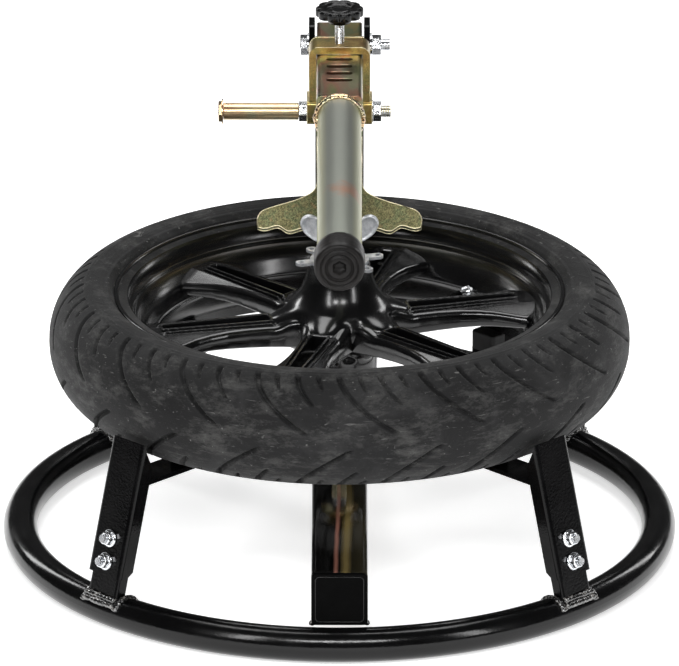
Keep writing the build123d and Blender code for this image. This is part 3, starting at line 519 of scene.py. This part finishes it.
def tyre_relief(across, angle):
    """Depth of the grooves less the height of the sidewalls' moulded lines, in mm."""
    depth = groove_depth(angle, across[:, None], TYRE_R)
    side = np.abs(across)
    for place_across, tall, wide in SIDE_RINGS:
        depth = depth - (tall * np.exp(-((side - place_across) / wide) ** 2))[:, None]
    pitch = 2 * np.pi * TYRE_R / SIDE_BARS
    off_bar = (angle * TYRE_R) % pitch - pitch / 2
    lean = (side[:, None] - 84) * BAR_LEAN
    bars = np.exp(-(off_bar - lean) ** 2) * band(side, 79, 80.5, 87, 88)[:, None]
    return depth - BAR_HEIGHT * bars


def build_tyre():
    """Tyre as one closed skin: the outside with its relief, then the plain inner wall."""
    half = smooth_line([(231.2, 49.5), (233.5, 53.8), (239.5, 57.4), (249, 59.6), (258, 59.0), (268, 54.6),
                        (278, 46.8), (286.5, 36.5), (292.6, 24.5), (296.0, 12.0), (TYRE_R - 0.1, 0)], 12)
    mirrored = half[::-1][1:] * [1, -1]
    outer, along = resample(np.vstack([half, mirrored]), TYRE_ROW)
    across = along - along[-1] / 2
    tangent = np.gradient(outer, axis=0)
    normal = np.column_stack([-tangent[:, 1], tangent[:, 0]])
    normal /= np.linalg.norm(normal, axis=1)[:, None]
    angle = turn(TYRE_COLUMNS)
    depth = tyre_relief(across, angle)
    radius = outer[:, :1] - normal[:, :1] * depth
    height = outer[:, 1:] - normal[:, 1:] * depth
    inner = [(217.0, -48.2), (216.6, -36.0), (231.0, -36.5), (262, -45), (286, 0), (262, 45), (231.0, 36.5),
             (216.6, 36.0), (217.0, 48.2)]
    for r, h in inner:
        radius = np.vstack([radius, np.full(TYRE_COLUMNS, r)])
        height = np.vstack([height, np.full(TYRE_COLUMNS, h)])
    skin = np.stack([radius * np.cos(angle) * MM, radius * np.sin(angle) * MM, height * MM + WHEEL_Z], -1)
    faces = grid_faces(len(radius), TYRE_COLUMNS, wrap_rows=True, wrap_columns=True)
    tyre = mesh_object("tyre_moulding", skin.reshape(-1, 3), faces, "tyre_rubber")
    place(tyre, "wheel", "tyre_rubber", "tyre")


build_tyre()


# ---- wheel ----
SPOKES = 6
SPOKE_START = math.radians(14.5)
HUB_BORE = 22.0
HUB_COLUMNS = 240
HUB_LOBE = 9.0  # how far the hub's skirt swells towards each spoke
RIM_COLUMNS = 300


def barrel_section():
    """Closed section of the rim from its upper lip, and the inner wall that is part of it."""
    lip = [(230.3, 49.5), (230.3, 51.0), (229.2, 52.0), (227.4, 52.0), (226.0, 51.0), (225.0, 48.5)]
    shelf = smooth_line([(225.0, 48.5), (223.6, 42.5), (221.4, 37.5), (217.6, 34.2), (213.4, 32.9),
                         (211.4, 32.3)], 5)
    step = [(210.2, 31.4), (209.4, 29.2), (208.6, 28.2)]
    sweep = smooth_line([(208.6, 28.2), (205.2, 26.0), (200.6, 21.6), (196.6, 16.0), (193.6, 9.8),
                         (191.0, 4.4), (190.1, 2.0)], 6)
    ridge = [(189.8, 0.4), (190.2, -1.2), (191.4, -2.2)]
    lower = smooth_line([(191.4, -2.2), (196, -8), (201, -19), (207, -30), (214, -37), (223, -44),
                         (226, -50)], 4)
    outside = [(228, -52), (230.3, -51), (230.3, -48), (216, -47.7), (216, -32), (200, -17), (199, 0),
               (203, 14), (214, 29), (216, 33), (216, 47.7), (230.3, 47.9)]
    return np.vstack([lip, shelf[1:], step, sweep[1:], ridge, lower[1:], outside]), sweep


def build_rim():
    """Turns the rim and gives back its inner wall, which the spokes end in."""
    section, sweep = barrel_section()
    rim = lathe("rim_casting", section * MM + [0, WHEEL_Z], RIM_COLUMNS, "wheel_black")
    place(rim, "wheel", "wheel_black", "wheel_rim")
    return sweep


def hub_section():
    """Closed section of the hub: the trumpet, the drum below it and the bore."""
    trumpet = smooth_line([(31.4, 80.5), (33.0, 74.0), (36.0, 63.0), (40.5, 52.5), (47.5, 43.0), (55.5, 36.0),
                           (62.0, 30.5), (65.0, 26.0), (65.5, 21.0)], 8)
    below = smooth_line([(65.5, 21.0), (62.0, 10.0), (54.0, 0.0), (45.0, -6.0), (40.0, -14.0), (38.5, -34.0),
                         (35.0, -48.0), (31.0, -60.0)], 6)
    top = [(HUB_BORE, 82.5), (29.5, 83.0), (30.6, 82.3)]
    return np.vstack([top, trumpet, below[1:], [(30.0, -62.0), (HUB_BORE, -62.0)]])


def hub_mesh():
    """Points and faces of the trumpet hub, whose skirt swells where the spokes leave it."""
    section = hub_section()
    angle = turn(HUB_COLUMNS)
    skirt = band(-section[:, 1], -42, -27, 2, 16)
    swell = HUB_LOBE * np.cos(SPOKES * (angle - SPOKE_START))
    radius = section[:, :1] + skirt[:, None] * (swell - 1.0)
    z = np.repeat(section[:, 1:], HUB_COLUMNS, axis=1)
    points = np.stack([radius * np.cos(angle), radius * np.sin(angle), z], -1).reshape(-1, 3)
    return points, grid_faces(len(section), HUB_COLUMNS, wrap_rows=True, wrap_columns=True, flip=True)


# a spoke's radii, then the sizes of its relief
SPOKE_IN = 44.0
SPOKE_OUT = 205.0
POCKET_IN = 74.0
POCKET_OUT = 186.0
PAD_START = 187.0  # beyond it the spoke's end closes in a half round
WALL_START = 190.0  # beyond it the spoke's underside follows the rim's inner wall
POCKET_DEPTH = 16.0
RIB_HEIGHT = 4.4
THIN_RIB_HEIGHT = 3.0
SHOULDER = 5.0  # rounding of the spoke's upper edges
TOP_HALF = 17.0  # half width of the strip that has the closest points, for the pocket and its ribs
TOP_POINTS = 70


def spoke_half_width(u):
    """Half width of a spoke at a radius."""
    flank = np.interp(u, [44, 62, 78, 100, 122, 140, 156, 170, 180, 187],
                      [27, 23, 21.0, 20.5, 21.5, 24.5, 29, 35.5, 40.5, 43])
    tail = np.clip((u - PAD_START) / (SPOKE_OUT - PAD_START), 0, 1)
    return flank * np.sqrt(np.clip(1 - tail ** 2, 0, 1))


def spoke_top(u, side):
    """Height of a spoke's upper face at a radius and at distances from the spoke's middle line."""
    roof = 25.0 - 0.30 * np.maximum(side - 15.0, 0) ** 0.93 + 8.0 * (1 - smoothstep(u, 50, 74))
    pocket_half = 8.2 - 3.2 * np.clip((u - POCKET_IN) / (POCKET_OUT - POCKET_IN), 0, 1)
    over_side = side - pocket_half
    over_end = np.maximum(POCKET_IN - u, u - POCKET_OUT)
    outside = np.hypot(np.maximum(over_side, 0), np.maximum(over_end, 0))
    reach = np.where((over_side < 0) & (over_end < 0), np.maximum(over_side, over_end), outside)
    inner_rib = RIB_HEIGHT * band(reach, -0.5, 0.3, 2.2, 3.0)
    beside_pocket = band(u, POCKET_IN - 4, POCKET_IN + 1, POCKET_OUT - 1, POCKET_OUT + 4)
    thin_rib = THIN_RIB_HEIGHT * band(reach, 5.6, 6.3, 7.3, 8.1) * beside_pocket
    pocket = POCKET_DEPTH * (1 - smoothstep(reach, -1.4, -0.4))
    return roof + inner_rib + thin_rib - pocket


def spoke_section(radius, sweep):
    """Closed section of a spoke at a radius, as (across, height) points."""
    edge = float(spoke_half_width(radius))
    inner = np.linspace(0, TOP_HALF, TOP_POINTS) * min(1.0, edge / 20.0)
    half = np.concatenate([inner, np.linspace(inner[-1], edge, 20)[1:]])
    over_shoulder = np.clip((half - (edge - SHOULDER)) / SHOULDER, 0, 1)
    rounding = SHOULDER * (1 - np.sqrt(np.clip(1 - over_shoulder ** 2, 0, 1)))
    top = spoke_top(radius, half) - rounding * (edge > 0.5)
    wall_z = np.interp(radius, sweep[::-1, 0], sweep[::-1, 1])
    base = 2.0 + 5.0 * min(1.0, (radius - SPOKE_IN) / 100)
    floor = max(base, wall_z - 3.0) if radius > WALL_START else base
    low = min(float(top[-1]) - 0.2, floor)
    under = np.array([(edge, low + 2.0), (max(edge - 2.0, 0.0), low), (0.0, low)])
    right = np.vstack([np.column_stack([half, top]), under])
    left = right[1:-1][::-1] * [-1, 1]
    return np.vstack([right, left])


def spoke_mesh(azimuth, sweep):
    """Points and faces of one spoke: a loft along the radius, open where it ends in the hub and the rim."""
    stations = np.concatenate([np.linspace(SPOKE_IN, POCKET_IN - 2, 16),
                               np.linspace(POCKET_IN - 1.5, POCKET_IN + 4, 12),
                               np.linspace(POCKET_IN + 8, POCKET_OUT - 8, 44),
                               np.linspace(POCKET_OUT - 4, PAD_START + 4, 18),
                               SPOKE_OUT - 14 * (1 - np.linspace(0.05, 1, 16)) ** 1.6])
    rows = []
    for radius in stations:
        loop = spoke_section(radius, sweep)
        rows.append(np.column_stack([np.full(len(loop), radius), loop]))
    points = np.vstack(rows)
    out = np.array([math.cos(azimuth), math.sin(azimuth)])
    across = np.array([-out[1], out[0]])
    xy = points[:, :1] * out + points[:, 1:2] * across
    placed = np.column_stack([xy, points[:, 2]])
    return placed, grid_faces(len(rows), len(rows[0]), wrap_columns=True)


def build_spider(sweep):
    """Hub and spokes as one casting."""
    points, faces = hub_mesh()
    all_points, all_faces = [points], list(faces)
    count = len(points)
    for k in range(SPOKES):
        points, faces = spoke_mesh(SPOKE_START + 2 * math.pi * k / SPOKES, sweep)
        all_points.append(points)
        all_faces += [tuple(i + count for i in face) for face in faces]
        count += len(points)
    merged = np.vstack(all_points) * MM + [0, 0, WHEEL_Z]
    spider = mesh_object("hub_and_spokes", merged, all_faces, "wheel_black")
    place(spider, "wheel", "wheel_black", "wheel_spider")


build_spider(build_rim())


# ---- lever end pieces, nuts and knob ----
def ring_round(direction, columns):
    """Unit vector along a line, and unit vectors square to it all round."""
    axis = Vector(direction).normalized()
    side = axis.orthogonal().normalized()
    up = axis.cross(side)
    angle = turn(columns)
    ring = np.cos(angle)[:, None] * np.array(side) + np.sin(angle)[:, None] * np.array(up)
    return np.array(axis), ring


def around_line(name, base, direction, rows, columns, finish):
    """Surface of revolution about any line: rows are (radius, distance along the line) in metres."""
    axis, ring = ring_round(direction, columns)
    points = [np.array(base) + ring * r + axis * h for r, h in rows]
    faces = grid_faces(len(rows), columns, wrap_columns=True, flip=True) + end_faces(len(rows), columns)
    return mesh_object(name, np.vstack(points), faces, finish)


THREAD_COLUMNS = 40
THREAD_DEPTH = 0.30  # share of the pitch


def thread(name, body, slot, base, direction, length, radius, pitch, finish, *nodes):
    """Helical thread: a fine tube whose radius follows the screw line."""
    axis, ring = ring_round(direction, THREAD_COLUMNS)
    steps = int(length / pitch * 6)
    along = np.linspace(0, length, steps + 1)
    phase = (along[:, None] / pitch - turn(THREAD_COLUMNS) / (2 * np.pi)) % 1
    tooth = np.abs(phase * 2 - 1)
    r = radius - THREAD_DEPTH * pitch * tooth
    r[0] *= 0.9
    r[-1] *= 0.88
    points = np.array(base) + r[:, :, None] * ring + along[:, None, None] * axis
    faces = grid_faces(steps + 1, THREAD_COLUMNS, wrap_columns=True, flip=True)
    faces += end_faces(steps + 1, THREAD_COLUMNS)
    piece = mesh_object(name, points.reshape(-1, 3), faces, finish)
    place(piece, body, slot, *nodes)


def middle(node):
    """Middle of a CAD node's box."""
    low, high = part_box(node)
    return (low + high) / 2


KNOB_LOBES = 10
LOBE_SWELL = 2.9


def build_knob():
    """Lobed moulded knob with a dished top."""
    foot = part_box("clamp_knob")[0].z
    centre = middle("clamp_knob")
    columns = 400
    angle = turn(columns)
    lobe = np.abs(np.cos(KNOB_LOBES / 2 * angle)) ** 0.75
    # share of the lobed outline, radius and height above the knob's foot (mm)
    stations = [(0.0, 11.0, 0.0), (0.0, 11.4, 0.6), (0.0, 11.4, 6.6), (0.10, 14.0, 7.1), (0.7, 20.2, 7.2),
                (1.0, 21.9, 7.6), (1.0, 22.3, 8.4), (1.0, 22.3, 14.2), (1.0, 21.9, 15.7), (0.92, 21.0, 16.5),
                (0.75, 19.6, 16.9), (0.45, 18.0, 17.0), (0.12, 16.6, 16.6), (0.0, 15.6, 15.8),
                (0.0, 14.6, 14.6), (0.0, 12.5, 14.2), (0.0, 9.0, 14.0), (0.0, 8.4, 14.3), (0.0, 7.6, 14.4),
                (0.0, 4.0, 14.4), (0.0, 0.05, 14.4)]
    points = []
    for share, radius, height in stations:
        r = (radius + share * (LOBE_SWELL * lobe - 0.3)) * MM
        points.append(np.column_stack([centre.x + r * np.cos(angle), centre.y + r * np.sin(angle),
                                       np.full(columns, foot + height * MM)]))
    faces = grid_faces(len(stations), columns, wrap_columns=True)
    faces.append(tuple(reversed(range(columns))))
    knob = mesh_object("knob_moulding", np.vstack(points), faces, "knob_plastic")
    place(knob, "clamp_screw", "knob_plastic", "clamp_knob")


def build_grip_cap():
    """Rubber end cap with stepped rings and a hexagonal recess in its face."""
    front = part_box("grip_cap")[0].y
    centre = middle("grip_cap")
    columns = 192
    angle = turn(columns)
    hexagon = np.cos(np.pi / 6) / np.cos((angle + np.pi / 6) % (np.pi / 3) - np.pi / 6)
    # radius and depth behind the face (mm), then the share of the hexagonal outline
    stations = [(22.6, 36.9, 0), (24.6, 36.9, 0), (25.2, 36.2, 0), (25.4, 30, 0), (25.5, 12, 0),
                (25.4, 6.0, 0), (25.0, 3.4, 0), (24.0, 1.5, 0), (22.4, 0.4, 0), (20.6, 0.05, 0),
                (19.8, 0.1, 0), (19.2, 1.9, 0), (18.2, 2.0, 0), (17.6, 0.4, 0), (15.4, 0.2, 0),
                (14.6, 0.6, 0), (13.9, 2.9, 0), (12.4, 3.1, 0), (11.8, 1.3, 0), (9.2, 1.1, 0),
                (8.2, 1.1, 0.6), (7.4, 1.3, 1), (7.0, 6.6, 1), (0.1, 6.7, 0)]
    points = []
    for radius, depth, share in stations:
        r = radius * (1 + share * (hexagon - 1)) * MM
        points.append(np.column_stack([centre.x + r * np.cos(angle), np.full(columns, front + depth * MM),
                                       centre.z + r * np.sin(angle)]))
    faces = grid_faces(len(stations), columns, wrap_columns=True)
    cap = mesh_object("grip_cap_moulding", np.vstack(points), faces, "cap_rubber")
    place(cap, "lever", "cap_rubber", "grip_cap")


def build_wing_nut():
    """Cast wing nut: a tapered boss and two ear-shaped wings with raised rims."""
    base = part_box("wing_nut")[0].z / MM
    boss = [(8.1, 0.1), (15.2, 0.1), (15.9, 0.8), (16.0, 4.2), (15.4, 5.4), (14.4, 8), (13.2, 18),
            (12.8, 25.5), (12.0, 26.8), (8.6, 27.0), (8.1, 26.4)]
    body = lathe("wing_nut_boss", [(r * MM, (base + h) * MM) for r, h in boss], 96, "cast_alloy")
    outline = smooth_line([(9, 4), (17, 7), (27, 11.5), (36, 19), (39.9, 28), (37.5, 35.5), (31, 38.3),
                           (23.5, 35.5), (17.5, 28), (12.5, 21), (9, 18)], 8)
    centre = outline.mean(axis=0)
    # scale of the outline and distance from the wing's middle plane (mm)
    levels = [(1.0, 0.0), (0.995, 1.3), (0.96, 2.5), (0.90, 3.0), (0.84, 2.75), (0.79, 2.1), (0.6, 1.9),
              (0.02, 1.9)]
    points, faces = [], []
    for side in (-1, 1):
        rows = [(scale, -depth) for scale, depth in reversed(levels)] + levels[1:]
        start = len(points)
        for scale, depth in rows:
            for x, z in centre + (outline - centre) * scale:
                points.append((side * x * MM, depth * MM, (base + z) * MM))
        faces += [tuple(i + start for i in face)
                  for face in grid_faces(len(rows), len(outline), wrap_columns=True, flip=side > 0)]
    wings = mesh_object("wing_nut_wings", points, faces, "cast_alloy")
    place(body, "wing_nut", "cast_alloy", "wing_nut")
    place(wings, "wing_nut", "cast_alloy", "wing_nut")


SHAFT_LEAD = 27 * MM  # plain end above the shaft's thread
SHAFT_PITCH = 2.0 * MM
CLAMP_PITCH = 1.5 * MM
BOLT_PITCH = 1.75 * MM
BOLT_THREAD_R = 6.3 * MM  # just over the plain bolts, which stay underneath
UP = (0, 0, 1)


def build_threads():
    """Threads of the centre shaft, the clamp screw and the two long bolts."""
    low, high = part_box("centre_shaft")
    thread("shaft_thread", "base", "yellow_zinc", (0, 0, low.z), UP, high.z - low.z - SHAFT_LEAD, 0.00798,
           SHAFT_PITCH, "rose_zinc", "centre_shaft")
    lead = around_line("shaft_lead", (0, 0, high.z - SHAFT_LEAD), UP,
                       [(0.007, 0), (0.007, SHAFT_LEAD - 0.0015), (0.006, SHAFT_LEAD)], 48, "rose_zinc")
    place(lead, "base", "yellow_zinc", "centre_shaft")
    low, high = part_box("clamp_screw")
    spot = middle("clamp_screw")
    thread("clamp_thread", "clamp_screw", "bright_zinc", (spot.x, spot.y, low.z), UP, high.z - low.z, 0.005,
           CLAMP_PITCH, "bright_zinc", "clamp_screw")
    for name, body, bolt, nut, slot in (("pivot", "base", "pivot_bolt", "pivot_nut", "bright_zinc"),
                                        ("cross", "yoke", "cross_bolt", "cross_nut", "yellow_zinc")):
        spot = middle(bolt)
        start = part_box(nut)[1].x
        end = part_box(bolt)[1].x
        thread(name + "_thread", body, slot, (start - 0.002, spot.y, spot.z), (1, 0, 0), end - start + 0.0015,
               BOLT_THREAD_R, BOLT_PITCH, "bright_zinc")


BEAD_COLUMNS = 14
BEAD_FLATNESS = 0.75


def weld_bead(name, spine, radius, ripple, seed, body="base", finish="weld_coat_and_glints", slot="black_powder_coat"):
    """Bumpy bead of overlapping puddles along a line of points."""
    chance = random.Random(seed)
    line = np.array(spine, float)
    gaps = np.linalg.norm(np.diff(line, axis=0), axis=1)
    length = gaps.sum()
    steps = max(10, int(length / (ripple / 5)))
    at = np.linspace(0, length, steps)
    along = np.concatenate([[0], np.cumsum(gaps)])
    centre = np.column_stack([np.interp(at, along, line[:, k]) for k in range(3)])
    tangent = np.gradient(centre, axis=0)
    tangent /= np.linalg.norm(tangent, axis=1)[:, None]
    drift = [chance.uniform(0.85, 1.15) for _ in range(int(length / ripple) + 3)]
    points = []
    for k in range(steps):
        puddle = at[k] / ripple
        cell = int(puddle)
        part = puddle - cell
        swell = 0.82 + 0.22 * math.sqrt(max(0.0, 1 - (2 * part - 1) ** 2))
        size = radius * swell * (drift[cell] * (1 - part) + drift[cell + 1] * part)
        if k in (0, steps - 1):
            size *= 0.3
        side = Vector(tangent[k]).cross(Vector((0.02, 0.03, 1))).normalized()
        up = side.cross(Vector(tangent[k])).normalized()
        for theta in turn(BEAD_COLUMNS):
            points.append(centre[k] + size * (math.cos(theta) * np.array(side)
                                              + BEAD_FLATNESS * math.sin(theta) * np.array(up)))
    bead = mesh_object(name, points, grid_faces(steps, BEAD_COLUMNS, wrap_columns=True), finish)
    place(bead, body, slot)


WELD_SEED = 11
RING_R = 0.328  # to the middle of the base ring's tube
RING_TUBE = 0.0175
WELD_REACH = RING_TUBE * 1.02  # a little proud of the tube
FOOT_HALF = 0.0225
RAIL_SIDE = 0.0275
GRIP_WELD_R = 0.0232


def weld_foot(k, azimuth):
    """Beads down both sides of a foot and in two layers across its outer face."""
    out = Vector((math.cos(math.radians(azimuth)), math.sin(math.radians(azimuth)), 0))
    side = Vector((-out.y, out.x, 0))
    for edge, hand in ((-1, "left"), (1, "right")):
        spine = []
        for step in range(12):
            tilt = math.radians(150 - 125 * step / 11)
            radial = RING_R + WELD_REACH * math.cos(tilt)
            height = RING_TUBE + WELD_REACH * math.sin(tilt)
            spine.append(out * radial + side * edge * FOOT_HALF + Vector((0, 0, height)))
        weld_bead("weld_foot_%d_%s" % (k, hand), spine, 0.0038, 0.0045, WELD_SEED + k * 2 + edge)
    for layer, (radial, height, size) in enumerate(((0.3430, 0.0300, 0.0046), (0.3405, 0.0350, 0.0040))):
        middle_line = out * radial + Vector((0, 0, height))
        spine = [middle_line + side * across for across in np.linspace(-0.021, 0.021, 12)]
        weld_bead("weld_foot_%d_face_%d" % (k, layer), spine, size, 0.0052, WELD_SEED + 60 + 2 * k + layer)


def weld_rail(side, hand):
    """Beads where one side of the rail crosses the ring, at the front and at the rear."""
    for end, y_low, y_high in (("front", -0.3155, -0.3105), ("rear", 0.312, 0.344)):
        spine = [(side * RAIL_SIDE, y, 2 * RING_TUBE + 0.0002) for y in np.linspace(y_low, y_high, 8)]
        weld_bead("weld_rail_%s_%s" % (end, hand), spine, 0.0034, 0.004, WELD_SEED + 20 + side)


def weld_lever():
    """Bead round the grip tube where it enters the square tube."""
    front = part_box("lever_tube")[0].y - 0.0006
    centre = middle("grip_tube")
    arch = [(centre.x + GRIP_WELD_R * math.cos(theta), front, centre.z + GRIP_WELD_R * math.sin(theta))
            for theta in np.linspace(0, 2 * math.pi, 60)]
    weld_bead("weld_lever", arch, 0.0046, 0.0052, WELD_SEED + 40, "lever", "rose_zinc", "yellow_zinc")


def build_welds():
    """Beads at the feet, the rail and the lever."""
    for k, azimuth in enumerate((225, 315, 45, 135)):
        weld_foot(k, azimuth)
    weld_rail(-1, "left")
    weld_rail(1, "right")
    weld_lever()


CAP_LINE = 0.0008  # radius of the raised line
CAP_LINE_HALF = 0.0242
CAP_LINE_CORNER = 0.004
CAP_LINE_COLUMNS = 8


def build_cap_line():
    """Thin raised line round the front rail cap's face."""
    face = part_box("rail_cap_front")[0].y
    spot = middle("rail_cap_front")
    straight = CAP_LINE_HALF - CAP_LINE_CORNER
    loop = []
    for quarter, (side, lift) in enumerate(((1, 1), (-1, 1), (-1, -1), (1, -1))):
        for step in range(9):
            theta = (quarter + step / 8) * math.pi / 2
            loop.append((straight * side + CAP_LINE_CORNER * math.cos(theta),
                         straight * lift + CAP_LINE_CORNER * math.sin(theta)))
    points = []
    for x, z in loop:
        away = Vector((x, 0, z)).normalized()
        for theta in turn(CAP_LINE_COLUMNS):
            ring = away * math.cos(theta) * CAP_LINE
            depth = face + 0.0003 + math.sin(theta) * CAP_LINE
            points.append((spot.x + x + ring.x, depth, spot.z + z + ring.z))
    faces = grid_faces(len(loop), CAP_LINE_COLUMNS, wrap_rows=True, wrap_columns=True)
    place(mesh_object("cap_line", points, faces, "knob_plastic"), "base", "cap_plastic")


build_cap_line()
build_knob()
build_grip_cap()
build_wing_nut()
build_threads()
build_welds()


# width of the rolled edges in mm, and the starts of the names of the nodes that have them
ROLLED_EDGES = {1.2: ("leg_", "rail_cap_", "ear_"), 1.0: ("rim_rest_", "cross_rail", "rear_post"),
                0.9: ("yoke", "shoe_plate"), 0.7: ("lever_tube",), 0.5: ("pivot_bolt", "cross_bolt"),
                0.6: ("hub_ring", "pivot_nut", "cross_nut", "cross_collar", "peg_sleeve")}


def soften_edge(piece, width):
    """Rolls a CAD piece's sharp edges, so that they catch the light."""
    weld = piece.modifiers.new("weld", "WELD")
    weld.merge_threshold = 0.00001
    bevel = piece.modifiers.new("bevel", "BEVEL")
    bevel.width = width
    bevel.segments = 2
    bevel.limit_method = "ANGLE"
    bevel.angle_limit = math.radians(40)
    level = piece.modifiers.new("level", "WEIGHTED_NORMAL")
    level.weight = 90
    level.keep_sharp = True


def keeps_on(edge, vertex, heading):
    """How well an edge that leaves a vertex keeps to a heading, from -1 to 1."""
    return (edge.other_vert(vertex).co - vertex.co).normalized().dot(heading)


def sharp_chains(mesh):
    """Runs of points along the sharp edges of a mesh."""
    work = bmesh.new()
    work.from_mesh(mesh)
    bmesh.ops.remove_doubles(work, verts=work.verts, dist=0.00001)
    work.edges.index_update()
    left = {edge.index: edge for edge in work.edges
            if len(edge.link_faces) == 2 and edge.calc_face_angle(0) > math.radians(50)}
    chains = []
    while left:
        edge = left.pop(next(iter(left)))
        chain = list(edge.verts)
        following = [edge for edge in chain[-1].link_edges if edge.index in left]
        while following:
            end = chain[-1]
            heading = (end.co - chain[-2].co).normalized()
            edge = max(following, key=lambda choice: keeps_on(choice, end, heading))
            if keeps_on(edge, end, heading) < 0.4:
                break
            left.pop(edge.index)
            chain.append(edge.other_vert(end))
            following = [edge for edge in chain[-1].link_edges if edge.index in left]
        chains.append([vertex.co.copy() for vertex in chain])
    work.free()
    return chains


EDGE_COLUMNS = 6
SHORTEST_EDGE_LINE = 0.008
LARGEST_BOLT_HOLE = 0.045  # length round it


def edge_highlight_line(node, body, radius):
    """Painted highlight: a thin bright line along a plate's sheared edges, but not round its bolt holes."""
    to_world = NODES[node].matrix_world
    points, faces = [], []
    for chain in sharp_chains(NODES[node].data):
        line = [to_world @ point for point in chain]
        length = sum((b - a).length for a, b in zip(line, line[1:]))
        is_bolt_hole = length < LARGEST_BOLT_HOLE and (line[0] - line[-1]).length < 0.00001
        if length < SHORTEST_EDGE_LINE or is_bolt_hole:
            continue
        side = (line[1] - line[0]).orthogonal().normalized()
        start = len(points)
        for k, point in enumerate(line):
            heading = (line[min(k + 1, len(line) - 1)] - line[max(k - 1, 0)]).normalized()
            side = (side - heading * side.dot(heading)).normalized()
            up = heading.cross(side)
            for theta in turn(EDGE_COLUMNS):
                points.append(point + side * math.cos(theta) * radius + up * math.sin(theta) * radius)
        tube = grid_faces(len(line), EDGE_COLUMNS, wrap_columns=True)
        faces += [tuple(i + start for i in face) for face in tube]
        faces += end_faces(len(line), EDGE_COLUMNS, start)
    place(mesh_object(node + "_edges", points, faces, "edge_highlight_zinc"), body, "yellow_zinc")


for edge_width, starts in ROLLED_EDGES.items():
    for node_name, cad_piece in NODES.items():
        if node_name.startswith(starts):
            soften_edge(cad_piece, edge_width * MM)
# painted highlights along the sheared edges of the shoe plate and the yoke
edge_highlight_line("shoe_plate", "shoe", 0.0006)
edge_highlight_line("yoke", "yoke", 0.0004)


# ---- stage ----
VIEW_ELEVATION = 21.0
VIEW_DISTANCE = 12.0
VIEW_CENTRE = Vector((0, 0, 0.2265))
PIXELS_PER_METRE = 978
FRAME_WIDTH = 679
FLOOR_GLOW = 0.62
WORLD_GLOW = 0.06
WHITE = (1, 1, 1, 1)


def softbox(name, spot, aim, size, radiance):
    """Rectangular area light of a given radiance, aimed at a point."""
    light = bpy.data.lights.new(name, "AREA")
    light.shape = "RECTANGLE"
    light.size, light.size_y = size
    light.energy = radiance * math.pi * size[0] * size[1]
    lamp = bpy.data.objects.new(name, light)
    lamp.location = spot
    lamp.rotation_euler = (Vector(aim) - Vector(spot)).to_track_quat("-Z", "Y").to_euler()
    bpy.context.scene.collection.objects.link(lamp)


def build_stage():
    """Pale glowing floor, a faint white world and seven softboxes."""
    bpy.ops.mesh.primitive_circle_add(vertices=128, radius=14, fill_type="NGON", location=(0, 0, -0.0006))
    floor = bpy.context.object
    floor.name = "floor"
    shade = Shader("pale_floor", Specular_IOR_Level=0.0, Emission_Strength=FLOOR_GLOW)
    shade.surface.inputs["Roughness"].default_value = 0.9
    shade.surface.inputs["Emission Color"].default_value = WHITE
    shade.colour(shade.ramp(shade.noise(2, 2), [(0.3, (0.92, 0.92, 0.92)), (0.7, (0.94, 0.94, 0.94))]))
    floor.data.materials.append(shade.material)

    world = bpy.data.worlds.new("studio")
    world.use_nodes = True
    sky = world.node_tree.nodes["Background"]
    sky.inputs["Color"].default_value = WHITE
    sky.inputs["Strength"].default_value = WORLD_GLOW
    bpy.context.scene.world = world
    softbox("overhead", (0, 0.7, 3.0), (0, 0.2, 0), (2.2, 1.5), 5.0)
    softbox("front", (0, -2.7, 2.2), (0, 0, 0.3), (1.7, 0.45), 19)
    softbox("back", (0, 2.4, 2.3), (0, 0, 0.25), (2.2, 0.35), 5)
    softbox("key", (-1.5, -2.3, 1.9), (0, 0, 0.25), (0.4, 1.5), 12)
    softbox("fill", (1.9, -1.9, 1.3), (0, 0, 0.25), (0.35, 1.4), 9)
    softbox("back_left", (-1.9, 1.6, 1.5), (0, 0, 0.25), (0.4, 1.4), 9)
    softbox("back_right", (2.0, 1.7, 1.4), (0, 0, 0.25), (0.4, 1.2), 7)


def build_camera():
    """Camera in front of the lever, looking down at the object."""
    camera = bpy.data.cameras.new("camera")
    camera.sensor_width = 36
    camera.lens = PIXELS_PER_METRE * VIEW_DISTANCE / FRAME_WIDTH * camera.sensor_width
    camera.clip_end = 60
    holder = bpy.data.objects.new("camera", camera)
    lift = math.radians(VIEW_ELEVATION)
    back = Vector((0, -math.cos(lift), math.sin(lift)))
    holder.location = VIEW_CENTRE + back * VIEW_DISTANCE
    holder.rotation_euler = (-back).to_track_quat("-Z", "Y").to_euler()
    bpy.context.scene.collection.objects.link(holder)
    bpy.context.scene.camera = holder


build_stage()
build_camera()
bpy.context.scene.view_settings.view_transform = "Standard"
